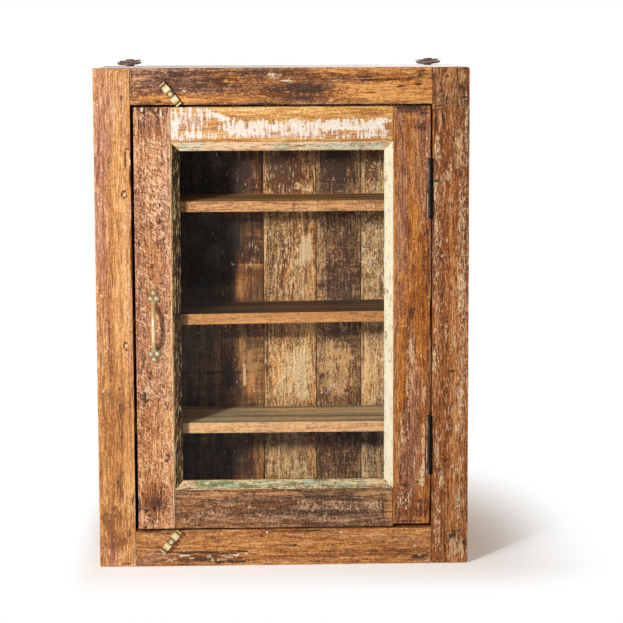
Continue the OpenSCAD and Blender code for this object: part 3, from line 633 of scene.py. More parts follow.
STILE_RIGHT = wood(
    "wood frame stile right", "5c3822 7c5034 92643f ae8058 d4ac84", "6e3c18 8c5224 a26430 b67a46 d8a472",
    seed=4, hue=0.65, contrast=1.1, grit=1.4, fleck=0.5, fleck_colour="d8ac84", pits=1.0,
    paint_colours=("a8784c", "f6d2a4"), paint_noise=((0, 460, 130, 3.2), (0, 1000, 420, 2.2)),
    gain=(0.92, 0.74, 0.5))
PATCH = wood(
    "wood corner patch", "5c3a24 7a5236 92684a a87c5a c09474", "6e4220 8c5a32 a87244 bc8654 d09c6c", seed=5,
    hue=0.6, contrast=1.4, fleck=0.5, fleck_colour="d0a27a", pits=1.0, gain=(0.9, 0.72, 0.52))
DOOR_LEFT = wood(
    "wood door stile left", "5c3622 905a3e ac7050 c08866 e0ae8c", "66381c 9c5e34 bc7a48 d29460 f0bc88",
    seed=6, streak=0.8, flecks=((-58, 560, 170), (-50, 640, 210)), fleck=0.55, clumps=0.4,
    fleck_colour="f2c69c", pits=1.0, bump=0.7, gain=(0.98, 0.92, 0.83))
DOOR_RIGHT = wood(
    "wood door stile right", "5c3420 80503a 966248 aa7656 cc9c7a", "70380c 985618 b46a22 c4802f dca050",
    seed=7, hue=0.55, contrast=1.1, fleck_colour="d8ac84", pits=0.5,
    paint_noise=((0, 460, 110, 3.2), (0, 1000, 380, 2.2)), paint_colours=("b8865a", "f8d6a8"),
    gain=(0.97, 0.84, 0.7))
DOOR_TOP = wood(
    "wood door rail top", "a46a40 c08858 d8a074 e8b890 f4d0ac", "a8682e c6843e e09c50 f0b868 fcd894",
    grain="x", seed=8, hue=0.75, contrast=0.9, fleck=0.0, fleck_colour="fbe6cc", pits=0.3, cracks=0.4,
    paint_colours=("eccfb4", "fdf3e8"), paint_noise=((0, 400, 45, 4.2), (0, 900, 300, 2.0)),
    gain=(0.92, 0.92, 0.94))
DOOR_BOTTOM = wood(
    "wood door rail bottom", "4a2e1e 5e4030 74523c 8e6a50 b48c6c", "5c381e 7a4c2c 98643c b47c50 d49c70",
    grain="x", seed=9, hue=0.45, fleck_colour="b48c6c", pits=0.5, saw=0.8,
    flecks=((90, 600, 150), (0, 600, 120)), paint_colours=("a0764e", "e0b894"), contrast=1.1,
    paint_noise=((0, 640, 190, 3.2), (90, 1000, 420, 2.6)), gain=(0.95, 0.87, 0.72))


def round_corner(points, rest, corner, radius):
    """Rounds a corner of a board's front view; corner and radius are (x, z), radius pointing outwards."""
    inner = np.array([corner[0] - radius[0], corner[1] - radius[1]])
    size = np.abs(np.array(radius))
    off = (rest[:, [0, 2]] - inner) / size * np.sign(radius)
    there = (off > 0).all(axis=1)
    length = np.hypot(off[:, 0], off[:, 1])
    scale = np.where(there, off.max(axis=1) / np.maximum(length, 1e-9), 1)
    for n, axis in ((0, 0), (1, 2)):
        points[:, axis] += np.where(there, off[:, n] * (scale - 1) * radius[n], 0)
    return points


def left_shape(points, rest):
    """The rounded outer corners of the left stile."""
    lo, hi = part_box("frame_stile_left")
    points = round_corner(points, rest, (lo.x, lo.z), (-2.4 * MM, -2.4 * MM))
    return round_corner(points, rest, (lo.x, hi.z), (-1.2 * MM, 1.2 * MM))


board(STILE_LEFT, "frame_stile_left", seed=11, rough=1.2, dents=FRONT_NAILS, shape=left_shape,
      marks="""
    chip 128 158 3 9 1.2; 131 178 1.4 8 1.8; 132 252 1.2 30 1.2; 124 194 2 2.4 .9; 126 346 2 2.6 .9
    118 68 12 2.5 .9; 121.5 98 1.2 3.5 1
    hue 122.5 395 3 55 -.9; 101 200 7 150 -.9; 108 330 5 110 -.6; 117 210 7 110 .8; 123 360 6 120 .7
    116 440 26 90 .9; 108 90 8 30 -.3; 112 552 18 22 -.5
    tone 122.5 395 2.2 55 -.9; 111 390 3 80 -.5; 120 495 3 26 -.8; 113 500 1.6 20 -.5; 108 522 8 7 -.3
    117 536 8 6 -.4; 116 430 24 80 -.5; 118 530 24 36 -.75; 104 518 5 6 -.5; 122 543 7 7 -.5
    112 104 24 40 .25; 104 250 1.8 120 -.5; 109 310 1.6 60 -.5; 119 400 1.6 50 -.5; 122 430 1.5 40 -.6
    121 480 2.2 30 -.7; 114 470 1.5 40 -.4; 119 515 3 14 -.8; 106 518 4 7 -.8; 124 541 5 6 -1
    112 546 10 4 -.5; 117 190 5 60 .4; 124 240 3 60 .35; 99 150 1.5 60 -.4; 98 330 1.2 90 .3
    124.2 194 3.2 4 -1.5; 124.6 194.3 1.5 2 2.4; 126.2 345.5 2.6 4.2 -1.8; 126.8 346 1.2 2 2.6
    126.5 361 1.2 9 -.8; 121.5 98 1.2 3.6 -1.6; 128 160 2.2 11 .9; 125.2 160 .8 11 -2
    127.5 149.5 2.6 .9 -1.6; 130.2 178 .9 8 -1.6; 131 255 .9 34 -1.2; 121 125 1 8 -.6; 105 560 9 4 -.3
    120 556 6 4 .5; 127.5 319.5 1 1 -1.5
    paint 98.8 204 1.1 1.3 1.7; 101 295.5 1.2 1.3 1.3; 103.3 391.5 1.1 1.1 1.7; 105.7 351 1 1 1.2
    124 195 1.2 1.8 .9; 126 346 1.1 2 .8
    stain 124 191.4 2.2 .9 1.3; 121.6 195 .8 3 1.2; 126.4 196 .8 2.6 1.1; 124 198 2 .8 1.1
    126 342.4 2 .9 1.3; 123.8 346 .8 3 1.2; 126.4 350 1.6 .9 1.2; 125.3 160 .7 10 1.1; 128 149 2.6 .8 1.1
    129.6 168 .8 3 1; 121.5 98 .9 3 1.1; 118.5 480 1.2 8 .7; 115 512 1.2 8 .7; 120 400 .8 26 .5
    121.4 440 .8 20 .5; 133 500 1 9 .8; 128 564 5 1.2 .8; 130 532 1 5 .7
    fleck 106 552 8 10 .9; 118 555 14 8 .9; 112 525 14 20 .4""",
      rims=[("paint", 0, 1, 0.9, 0.35), ("tone", 0, -1, 1.2, 0.5)])
# The row of small dark tone marks from 167.5 83.5 down to the right is painted shadow along the upper turn
# button's edge
board(RAIL_TOP, "frame_rail_top", grain="x", seed=12, rough=1.2,
      marks="""
    chip 148 103 8 1.4 1; 224 81 6 3 .7; 330 101 6 2 .6; 375 79 26 .8 .8
    hue 175 80 55 15 -.9; 250 75 45 8 -.6; 300 88 34 12 -.2; 215 98 64 5 .7; 395 88 70 18 1; 345 72 60 5 .3
    150 99 16 4 .4
    tone 190 78 60 16 -.45; 290 85 50 22 -.6; 220 98 40 6 -.3; 165 74 26 6 -.3; 222 80 15 8 -.6
    222.5 80.5 6 3.5 -.7; 225.5 81 3.6 2.2 2.4; 290 91 40 7 -.9; 316 88 14 4 -.5; 260 73 30 2.6 -.6
    300 75 22 2.6 -.8; 345 76 20 1.8 -.6; 385 79 26 1.2 -1.7; 385 90 60 16 .5; 370 93 34 8 .5
    405 98 24 4 .4; 192 100 34 3 .7; 150 98 14 3.5 .3; 400 74 12 2.2 -.6; 421 72 7 2.6 -1; 413 84 14 2 -.5
    400 101 14 2 -.5; 147 103 5 1.2 -1.8; 158 101.5 4 1 -1.2; 425 80 3 5 .5; 390 87 3 1.2 -1.2
    180 70 50 1.8 .4; 340 69 90 1.4 .5; 167.5 83.5 1.5 1.9 -2.4 7 2.45 3.4
    stain 296 88 30 5 .32; 312 90 14 3.6 .5; 220 79 9 1 .6; 222 83.6 8 .9 .7; 217.5 81 1.4 1.8 .9
    384 79.6 22 .8 .9; 366 76.6 14 .7 .8; 405 74 8 1.6 .6; 419 75 5 2 .8; 424 70 2.4 1.2 .9
    146 103.4 4 .9 1.1; 159 101.6 5 .7 .9; 258 83.6 70 .5 .7; 205 104 20 .9 .6; 262 104 20 .8 .6
    300 104.6 30 .8 .5; 170 78 26 4 .2; 131.5 84 .7 18 .8; 404 86 8 .7 .7; 345 88 6 .8 .6; 418 84 5 .8 .8
    fleck 275 76 9 4 1.3; 286 83 9 3 1.2; 200 82.5 16 .9 1.8; 258 82.6 24 .9 1.7; 160 72 20 5 .7
    300 80 22 4 .6; 300 92 26 6 .7; 150 85 14 8 .5
    paint 329 100.5 5 2 .5; 184 91 2.4 1.6 .6; 164 71.5 4 2 .4; 278 80 8 3 .35; 288 82 6 2 .4
    272 74 5 3 .35""")
# The row of small dark tone marks from 184.5 535 down to the left is painted shadow along the lower turn
# button's edge
board(RAIL_BOTTOM, "frame_rail_bottom", grain="x", seed=13, rough=1.2,
      marks="""
    chip 205 559 32 3.4 1.8; 232 552 14 1.2 1.4; 150 531 14 1.6 .9; 422 557 8 3 1; 295 545 2 1.6 .7
    hue 300 545 120 12 .5; 160 555 24 8 -.9; 200 557 44 6 -.3; 160 532 24 3 -.9; 168 544 14 4 .3
    420 556 14 5 -.6
    tone 185 545 60 16 -.3; 150 531.5 16 2 -1.3; 300 531.5 44 1.2 -1; 200 552.3 30 1.3 -1.8
    234 551 9 1 -1.8; 205 560 36 3 -1; 175 561 22 2 -.7; 280 543 60 3 .35; 295 545 2.4 1.8 -1.6
    333 545 1.6 1 -1.2; 300 556 80 1.2 -.7; 420 556 10 2.4 -1.1; 180 531 5 2 -.9; 166 540 16 3 .5
    160 548 20 1.2 -.8; 380 550 60 1.2 -.5; 262 538 1 5 -.6; 350 536 60 1 .4; 185 547 20 1.8 .6
    207 556.5 36 5 -.8; 165 536 20 3 .3; 184.5 535 1.5 1.9 -2.4 6 -2.5 3.2
    paint 185 556 6 1.3 1.7; 192 558.6 3 1.1 1.6; 209 557 3 1.5 1.7; 212.5 560.6 1.8 2.4 1.7
    222 559.8 6 1.1 1.5; 229.5 557.3 5 1.3 1.6; 236.5 555 3 1.5 1.7; 246 553 2 1 1; 253 561 2 1 .9
    267 532.7 1.2 1 1.4; 341 532.4 1.4 1 1.4; 415 545.5 1.4 1 1.2; 420 556 3 2 .6; 172 560 5 1.2 .6
    stain 188 553.4 12 .8 1; 205 552.6 12 .8 1.1; 226 553.6 12 .8 1; 243 551.6 8 .8 1.1; 200 560 8 1.2 .9
    225 562 16 1.4 1.1; 246 560.6 8 1 1.1; 214 556 3 1.2 .9; 196 556 3 .9 .8; 240 558 4 .9 .8
    150 531.4 14 .9 .9; 166 533.6 6 .8 .7; 300 530.4 60 .6 .7; 295 545 1.4 1.2 1.1; 333 545 1 .8 1
    419 557 9 1.4 .8; 424 552 4 1 .8; 262 538 .6 4 .7; 178 540 .8 2.4 .8; 240 562 12 .8 .8
    fleck 170 553 24 8 .4; 420 554 12 5 .8; 150 540 10 8 .4""",
      rims=[("paint", 0, -1, 1.0, 0.5)])

# The patch in the right stile: its edge, its foot and the fall of the foot; the crack and its top
PATCH_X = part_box("corner_patch")[1].x
PATCH_Z = TOP - 47 * MM
PATCH_FALL = 3 * MM
CRACK_X = on_plane(445.3, 540, FRONT)[0]
CRACK_TOP = on_plane(445.3, 514, FRONT)[1]


def patch_slope(points, rest):
    """Lowers the edge under the patch towards the door."""
    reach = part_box("corner_patch")[0].x - PATCH_X
    t = np.clip((rest[:, 0] - PATCH_X) / reach, 0, 1)
    near = np.clip(1 - np.abs(rest[:, 2] - PATCH_Z) / (20 * MM), 0, 1)
    points[:, 2] -= PATCH_FALL * t * near
    return points


def right_shape(points, rest):
    """The slope under the patch, the crack at the foot, a groove beside the patch and round corners."""
    points = patch_slope(points, rest)
    along = np.clip((CRACK_TOP - rest[:, 2]) / (12 * MM), 0, 1)
    wave = 0.5 * MM * np.sin(rest[:, 2] * 170) + 0.3 * MM * np.sin(rest[:, 2] * 410)
    near = np.abs(rest[:, 0] - CRACK_X)
    points[:, 0] += wave * np.clip(1 - near / (5 * MM), 0, 1)
    front = rest[:, 1] < FRONT + 0.1 * MM
    points[:, 1] += np.where(front, 2.6 * MM * along * (near < 0.2 * MM), 0)
    beside = (np.abs(rest[:, 0] - PATCH_X) < 0.6 * MM) & (rest[:, 2] > PATCH_Z - 1 * MM) & front
    points[:, 1] += np.where(beside, 0.9 * MM, 0)
    lo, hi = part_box("frame_stile_right")
    points = round_corner(points, rest, (hi.x, hi.z), (3.2 * MM, 3.2 * MM))
    return round_corner(points, rest, (hi.x, lo.z), (2.8 * MM, -2.8 * MM))


board(STILE_RIGHT, "frame_stile_right", seed=14, rough=1.3,
      dents=FRONT_NAILS, solid=lambda x, z: (x > PATCH_X) | (z < PATCH_Z), shape=right_shape,
      lines_x=[PATCH_X, PATCH_X + 0.5 * MM, CRACK_X - 0.6 * MM, CRACK_X, CRACK_X + 0.6 * MM],
      lines_z=[PATCH_Z],
      marks="""
    chip 461 553 5 9 .7; 437 122 1.6 10 .8
    hue 452 240 12 50 .9; 452 320 24 110 .5; 452 200 6 40 1; 446 260 6 40 .8; 455 340 6 40 .6
    450 455 9 14 .6; 461 215 5 30 -.8; 437 150 4 30 -.7; 447 400 5 40 .5; 440 470 6 30 -.4
    455 540 8 16 -.8; 462 90 6 20 -.6; 452 130 6 20 -.4; 450 500 5 30 .6
    tone 436.5 122 1.6 11 -1.2; 444 122 1.2 8 -.8; 452 150 5 30 -.4; 463 160 2 40 -.3
    442 255.5 2.4 2.6 -1.5; 442 255.5 1 1.1 1.6; 464 291 1.4 1.6 -1.2; 437 180 2 2 -1.4
    463 435 1.4 1.4 1.6; 435.5 449 1.4 1.4 1.6; 459 361 1.4 1.4 1.8; 441 472 2.2 3 -.8; 455 535 5 8 -.9
    460 100 5 10 -.9; 463 74 3 4 .8; 452 371 3.5 .9 -1.3; 446 330 1.4 60 -.5; 468 330 1 200 .4
    449 190 1.4 30 -.6; 457 470 2 20 -.5; 450 515 1.6 30 .5; 446 425 1.4 40 -.4
    paint 463 260 6 190 .16; 437 260 5 150 .16; 440.8 120 1.4 10 .7; 437.5 147 3.4 13 .55
    436 190 2.8 16 .45; 436.5 228 2.6 13 .5; 444 182 2 12 .5; 449 172 3 13 .45; 459 150 4 22 .5
    461 213 4.4 24 .4; 460 262 3 8 .4; 461 284 3.6 11 .6; 455 337 3.2 15 .6; 461 302 3 12 .5
    447 332 2 15 .4; 434.5 362 2.4 15 .5; 460 398 3.2 22 .55; 458 428 3 6 .7; 437 455 2 20 .5
    455 470 3.4 10 .5; 441 480 3.4 12 .6; 458 505 3.4 14 .55; 462 551 4.4 8 .75; 437 520 3.6 40 .5
    452 100 4 6 .3; 463 78 3 5 .6; 466 120 2 24 .5
    stain 436 122 .8 10 .9; 444 120 .6 10 .8; 447.6 90 .6 18 1; 461 88 3 4 .8; 457.5 75 .8 7 .9
    464 97 3 1.2 .8; 452 150 1.4 8 .6; 446 165 1.6 9 .6; 460 172 1 9 .6; 436.4 181 2.2 1.4 1
    442 253 2.4 .8 1; 439.4 256 .8 2 1; 444.6 257 .8 1.6 .9; 452 371 4 .8 1; 441 300 .8 22 .5
    450 415 .7 22 .6; 460 440 .8 16 .6; 455 531 10 .8 .9; 464.6 545 1 14 .8; 450 536 4 3 .6
    444.3 545 .7 17 1.1; 437.4 545 .7 14 .5; 438 470 3 3 .5; 433 108.6 5 .7 1
    fleck 461 320 5 220 .7; 455 546 9 14 1.3; 437 330 4 230 .5; 449 410 6 60 .4""",
      rims=[("tone", 0, 1, 0.9, 0.6)])
board(PATCH, "corner_patch", seed=15,
      lo=(*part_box("corner_patch")[0][:2], PATCH_Z), shape=patch_slope,
      marks="""
    tone 435 95 3 14 -.8; 447 98 6 6 -.6; 434 78 3 8 -.9; 447 78 5 5 .5; 440 88 5 3 .5; 452 90 2 12 .4
    440 100 5 3 -.6
    hue 440 78 8 8 .6; 446 100 8 8 -.6
    fleck 450 100 6 8 .6
    stain 444 97 6 4 .5; 438 92 2 2.4 .7; 434 84 1.2 12 .7; 447 76 4 1.2 .6; 452 88 1.2 6 .7
    441 84 1.4 1 .9; 440 104 5 .8 .8""")

board(DOOR_LEFT, "door_stile_left", seed=21, rough=0.9,
      marks="""
    hue 136 160 2.5 50 .8; 152 122 22 22 -.8; 153 430 24 90 .7; 155 250 14 40 .2; 160 505 14 16 -.7
    145 460 10 40 .4
    tone 155 410 20 60 -.4; 155 500 20 26 -.8; 155 180 16 50 .3; 143 114 5 7 -1.1; 150 110 16 2.6 -.7
    160 112 8 4 -.4; 140 128 2 12 -.8; 137 120 1.2 14 .6; 144 396 4.5 6 -1.2; 149 401 5 2 -1
    168 458 3 6 -1; 165 486 6 5 -.7; 146 511 2.6 3.6 -1.4; 160 505 14 8 -.7; 152 522 18 3 -.3
    168 262 2 60 .4; 150 330 6 8 -.3; 160 222 3 4 -.9; 140 345 3 10 -.4; 155 412 8 5 .4; 150 480 8 12 .2
    paint 142 109.5 1.3 2.6 1.3; 161 112 1 4 1.1; 146 110 .9 2 .8; 156 110 .9 3 1
    stain 138 108 1.2 4 .8; 144 112 1.2 5 .9; 150 109 1.4 3 1; 138.6 122 .8 10 .8; 158 108 1.2 3 .9
    160 221 2 2 .8; 142 396 4 .7 1; 143 401 5 .7 1; 145 406 4 .6 .9; 145 398 .7 7 1; 149 399 3 1 .8
    168 455 1.6 1.2 .9; 166 461 1.6 1.2 .9; 146 511 2 2.6 .9; 160 500 7 8 .35; 139 505 1.4 12 .6
    152 519 12 .8 .5; 157 346 2.4 4 .7
    fleck 157 190 14 60 .4; 160 505 14 20 -.4; 155 262 16 24 -.2; 150 390 16 14 .4; 155 425 16 30 -.3
    163 484 7 5 .7; 155 498 14 22 -1.2; 155 130 20 12 -.4; 150 520 16 4 .6""",
      rims=[("paint", 0, 1, 1.3, 0.62), ("tone", 0, 1, 2.0, 0.5)])


def between_stiles(node):
    """Ends of a rail of the door without its tenons, as wide as the light."""
    lo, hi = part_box(node)
    return {"lo": (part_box("moulding_left")[0].x, *lo[1:]), "hi": (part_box("moulding_right")[1].x, *hi[1:])}


board(DOOR_TOP, "door_rail_top", grain="x", seed=22, rough=0.9, **between_stiles("door_rail_top"),
      marks="""
    hue 190 122 26 14 -.9; 310 112 90 5 .5; 300 133 110 7 -.8; 385 127 10 5 -.2
    tone 240 109.5 36 2 .8; 300 112 30 3 .2; 372 112 28 4 -.6; 386 127 8 3.4 -1.2; 225 116 14 3 -.5
    273.6 125 .8 9 -1.4; 330 118 20 1.6 -.4; 186 126 12 4 -.3; 300 140.4 110 1 -.3
    paint 190 111 24 5 .5; 190 124 24 12 .42; 186 136 20 5 .55; 214 115.5 11 3 .7; 223 118.5 6 2.4 .7
    172 124 5 14 .6; 250 128 26 9 .78; 231 126 14 8 .5; 305 127 44 8 .8; 352 124 34 6.5 .75
    384 120.5 10 3 .9; 375 130 22 7 .45; 230 136 50 3 .3; 330 136 60 3 .3""",
      rims=[("paint", 2, -1, 1.6, -1.0), ("tone", 2, -1, 1.2, -0.5)])
board(DOOR_BOTTOM, "door_rail_bottom", grain="x", seed=23, rough=0.9, **between_stiles("door_rail_bottom"),
      marks="""
    hue 215 495 40 4 1.4; 275 493 34 2.6 1.2; 372 493 22 3 1.2; 389 508 6 18 .9; 190 510 14 16 .8
    320 512 60 12 -.6; 340 520 40 4 .4
    tone 213 495 38 4 .8; 275 493 34 2.2 .6; 372 493 22 2.4 .8; 390 508 5 18 .8; 325 497 34 4 -.7
    300 510 80 9 -.45; 270 503 40 3 -.4; 383 510 1.2 14 -.8; 190 500 12 5 .2; 200 514 24 6 -.2
    330 522 60 2.6 -.5; 245 521 30 2 .4
    paint 226 503 12 4 .42; 345 506 48 7 .3; 306 505 10 7 .3; 372 505 12 6 .3; 300 512 80 5 .22
    215 515 26 6 .28; 275 518 30 5 .26; 335 519 20 4 .3; 190 521 12 4 .36; 250 507.4 6 2 .36
    stain 320 497 30 2 .5; 300 512 60 4 .3; 383 508 .7 14 .9; 392.6 505 .6 16 .9; 340 512 30 3 .35
    265 503 30 1 .6; 200 504 12 1 .5; 350 500 20 1 .5; 300 523 80 .8 .5; 240 514 16 2 .35
    fleck 300 512 90 10 .5""")

# The round notches for the hinge barrels in the door's edge, with a little air above and below
NOTCH_R = 3.8 * MM
NOTCH_AIR = 1.2 * MM
LEAVES = [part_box("hinge_leaf_door_bottom"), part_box("hinge_leaf_door_top")]
NOTCHES = [(lo.z - NOTCH_AIR, hi.z + NOTCH_AIR) for lo, hi in LEAVES]
NOTCH_LINES_Z = [z + s for low, high in NOTCHES for z in (low, high) for s in (-0.05 * MM, 0.05 * MM)]
NOTCH_LINES_X = [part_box("door_stile_right")[1].x - d * MM for d in (1.9, 2.4, 2.9, 3.4, 3.9)]


def hinge_notches(points, rest):
    """Cuts the round notches for the two hinge barrels into the door's front edge."""
    inside = np.zeros(len(rest), bool)
    for low, high in NOTCHES:
        inside |= (rest[:, 2] > low) & (rest[:, 2] < high)
    away = points[:, :2] - np.array(HINGE_AXIS)
    d = np.linalg.norm(away, axis=1)
    push = inside & (d < NOTCH_R)
    points[push, :2] = np.array(HINGE_AXIS) + away[push] / d[push][:, None] * NOTCH_R
    return points


board(DOOR_RIGHT, "door_stile_right", seed=24, rough=1.1,
      shape=hinge_notches, lines_z=NOTCH_LINES_Z, lines_x=NOTCH_LINES_X,
      marks="""
    hue 404 210 7 80 -.7; 415 170 6 40 -.3; 418 228 10 20 1; 421 285 8 70 1.6; 421 345 6 30 1.6
    402 380 4 60 .8; 410 450 16 60 -.7; 424 440 4 40 .2; 412 505 10 14 .4; 400 300 5 30 -.4
    tone 413 506 20 18 -.7; 422 285 8 70 -.6; 424 240 5 60 -.4; 412 110 18 3 -1.5; 417 117.2 11 .9 1.3
    421 126 8 7 -.7; 426.5 232 3 4.5 -1.3; 411 314 3.6 8 -1.2; 415 308 2 4 -1; 404 326 7 1 1
    422 317 2.6 1.2 -1.4; 408 240 1.6 60 -.5; 414 270 1.4 40 -.6; 402 200 1.4 60 -.4; 421 260 2 30 .4
    427 270 1 30 -.9; 419 512 5 6 -.9; 399 496 3.4 2.2 -1.6; 405 410 1.4 60 -.5; 417 400 1.4 40 -.6
    399 420 2 60 .3; 413 500 1.6 12 .6; 426 505 2 14 -.6; 425 190 1 30 .6; 415 140 1 14 .5
    paint 411 352 2.4 14 .62; 409 385 3.6 18 .42; 402 432 2.4 16 .5; 424 393 2 14 .6; 423.4 440 1.5 28 .85
    422.5 470 2.8 9 .9; 421 482 3.4 5 .85; 413 462 2 16 .42; 404 501 8 11 .4; 427 150 1.2 24 .4
    408 130 6 1 .4
    stain 412 107.4 17 1.8 1; 404 112 8 1.4 .7; 424 113 6 1.6 .8; 421 128 8 6 .36; 427.4 232 1.4 4 1
    411 314 2 6 .7; 415 308 1 3 .7; 423 317 2.6 .8 1.1; 404 485 9 1.4 .7; 418 482 8 1.2 .6; 421 506 6 9 .34
    425 515 3 6 .45; 395.6 505 .8 16 .7; 412 521 14 2 .5; 404 410 .7 26 .5; 417 430 .7 22 .5
    427.6 300 .7 24 .6; 409 240 .7 26 .35; 399 514 2 5 .6
    fleck 411 370 8 50 .7; 404 440 8 40 .7; 420 200 8 60 .5; 425 130 3 14 .5""",
      rims=[("hue", 0, -1, 1.6, 1.4), ("tone", 0, -1, 1.6, 0.5)])

# The strips round the glass and the beads behind it

STRIP_RIGHT = wood(
    "paint strip right", "c8aa84 efdcb6 f6e6c4 faefce fcf4d8", "d2a878 f2dcb4 f8e8c6 fbf0d0 fdf4da",
    seed=31, contrast=0.5, fleck=0.0, pits=0.7, cracks=0.3, bump=0.3, paint_colours=("9a6440", "d4ab88"),
    edge_colour="e8d0a4", edge_amount=0.6, roughness=0.5, gain=(0.92, 0.93, 0.94))
STRIP_LEFT = wood(
    "paint strip left", "1c130b 2e2014 443322 5e4a30 8c7850", "22150b 3a2614 523c22 705632 a88a58", seed=32,
    contrast=1.5, flecks=((0, 620, 60), (6, 700, 90)), fleck=0.5, fleck_colour="d8b880", pits=0.7,
    paint_colours=("b08040", "f0cc88"), edge_amount=0.1, roughness=0.5, gain=(0.34, 0.22, 0.11))
STRIP_TOP = wood(
    "paint strip top", "8c7c5c ac9c78 cabb96 dccdaa ecdcbc", "a47a4c c8a070 dcb888 e8c8a0 f4dcb8",
    grain="x", seed=33, fleck=0.2, fleck_colour="f2e2c6", pits=0.7, bump=0.35,
    paint_colours=("7a5a3c", "a07c54"), stain_colours=("a8a688", "d8dcc0"), roughness=0.5,
    gain=(1.28, 1.2, 1.22))
STRIP_BOTTOM = wood(
    "paint strip bottom", "5e5a3a 84805c a6a27a c0be98 dcdcba", "74583a a08460 c0a47c d8c09a eedcba",
    grain="x", seed=34, contrast=1.1, fleck=0.7, fleck_colour="e6dcb8", pits=1.0,
    paint_colours=("4c6238", "8c9c68"), stain_colours=("8fa68c", "bccdb2"), roughness=0.5,
    gain=(1.2, 1.0, 0.83))
BEAD = wood("wood bead", "3c2616 5a3a22 74502f 8e6742 ae8458", seed=35)
STRIPS = {"left": STRIP_LEFT, "right": STRIP_RIGHT, "top": STRIP_TOP, "bottom": STRIP_BOTTOM}
STRIP_MARKS = {
    "left": """
        tone 176 400 2 60 .2; 178 300 1.5 160 -.3""",
    "right": """
        paint 386 292 4 3.5 .7; 389 297 3 3 .5; 385 180 1.6 3 .8; 389 315 1 1 .9; 388 362 4 1.4 .5
        386 336 1.5 6 .4; 385 440 1.4 6 .4
        tone 385 300 1.5 180 -.3""",
    "top": """
        stain 192 146 12 3.4 .35; 280 146 14 4 .3; 330 146 30 4 .35; 372 146 18 4 .5
        hue 192 146 14 5 -1; 235 146 28 5 1.3; 285 146 16 5 -.4; 340 146 44 5 -1
        tone 300 146 8 1 -1.5; 290 148 14 .9 -.8; 361 146 1.5 4 -.7""",
    "bottom": """
        paint 218 484 24 2.8 .62; 206 487 14 2 .5; 250 486 22 2 .5; 290 485 14 2 .5; 332 486 16 2 .42
        356 484 10 2 .4
        stain 313 483 12 3.4 .6; 232 486 10 1.4 .6; 268 484 20 2.4 .4; 345 485 12 2 .3
        hue 188 486 8 5 1.2; 382 484 12 5 1.4; 260 485 40 4 -1; 340 485 24 4 -.8
        tone 360 483 3 1.2 -1.2; 340 487 30 1 -.5""",
}


def mitred(name, node, side, material, inner, marks="", rim=0.0, seed=0):
    """A mitred strip in the door's light; inner is its depth inside, rim the paint along its outside."""
    marks = read_marks(marks)
    lo, hi = (np.array(v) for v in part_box(node))
    upright = side in ("left", "right")
    across, along = (0, 2) if upright else (2, 0)
    start, end = (lo, hi) if side in ("left", "bottom") else (hi, lo)
    width = hi[across] - lo[across]
    us = grid_lines(0, width, 1.2 * MM)
    vs = grid_lines(lo[along], hi[along], 1.5 * MM)
    ws = grid_lines(lo[1], hi[1], 2.5 * MM)
    rest, faces = plate_quads(us, ws, vs, np.ones((len(us) - 1, len(vs) - 1), bool))
    u, w, v = rest.T
    slope = u / width
    thick = (hi[1] - lo[1]) * (1 - slope) + inner * slope
    depth = hi[1] - w
    y = hi[1] - depth / (hi[1] - lo[1]) * thick
    middle = (lo[along] + hi[along]) / 2
    squeeze = 1 - u / (hi[along] - middle)
    v_at = middle + (v - middle) * squeeze
    points = np.zeros_like(rest)
    points[:, across] = start[across] + np.sign(end[across] - start[across]) * u
    points[:, along] = v_at
    points[:, 1] = y
    noise = fbm(points, 8 * MM, seed, 3)
    front = depth > 0.6 * (hi[1] - lo[1])
    edge = np.minimum(u, width - u)
    dig = 0.25 * MM * noise + 0.9 * MM * np.exp(-edge / (0.5 * MM)) * np.clip(noise - 0.25, 0, 1)
    points[:, 1] += np.where(front, dig, 0)
    if (side in ("right", "bottom")) == upright:
        faces = faces[:, ::-1]
    obj = make_object(name, points, faces, material, "door", 35)
    add_attribute(obj.data, "wear", np.exp(-edge / (1.0 * MM)) * (0.2 + 1.2 * noise))
    for layer in LAYERS:
        values = spread(points, marks.get(layer), FRONT, seed + 7)
        if layer == "paint" and rim:
            values = values + rim * smooth(1.3 * MM - u, 0, 0.6 * MM)
        add_attribute(obj.data, layer, values)
    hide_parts(node)


for n, (side, material) in enumerate(STRIPS.items()):
    mitred("strip_" + side, "moulding_" + side, side, material, 2 * MM, STRIP_MARKS[side],
           0.9 if side == "left" else 0.0, 50 + n)
    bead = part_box("bead_" + side)
    mitred("glass_bead_" + side, "bead_" + side, side, BEAD, bead[1].y - bead[0].y, seed=60 + n)

# Shelves, back, sides, top and bottom

SHELF_TILT = math.tan(math.radians(0.55))

# Colours of the front edge, the two colours of the upper face, and the rest of the look
SHELF_LOOKS = {
    "shelf_top": ("7a4e2c ad784a c38c59 d59c67 e7af79", ("68491f", "f6b868"),
                  dict(gain=(0.94, 0.89, 0.8), fleck=0.2, cracks=0.3, flecks=((0, 600, 120),), saw=3.2,
                       contrast=1.2, paint_bands=3.4)),
    "shelf_middle": ("8a5a32 b87d48 c88b53 d4975e e6a869", ("241505", "6c4418"),
                     dict(gain=(0.92, 0.86, 0.68), fleck=0.1, cracks=0.9, paint_bands=3.0)),
    "shelf_bottom": ("a87448 d19a66 dda873 e9b580 f2c08d", ("8a7850", "f4daa4"),
                     dict(gain=(1.0, 0.97, 0.9), fleck=0.1, cracks=0.3, paint_bands=2.2)),
}
SHELF_MARKS = {
    "shelf_top": """
        tone 330 210 20 2 -.3; 230 212 30 2 .2
        fleck 312 208 6 3 1.2; 372 206 10 4 .8""",
    "shelf_middle": """
        tone 250 322 40 2 .3; 360 316 24 3 -.4
        fleck 372 315 12 3 .6""",
    "shelf_bottom": """
        tone 246.5 424 2 3 -1.4; 307.5 427 2 1.6 -1.4; 200 427 16 3 .2""",
}


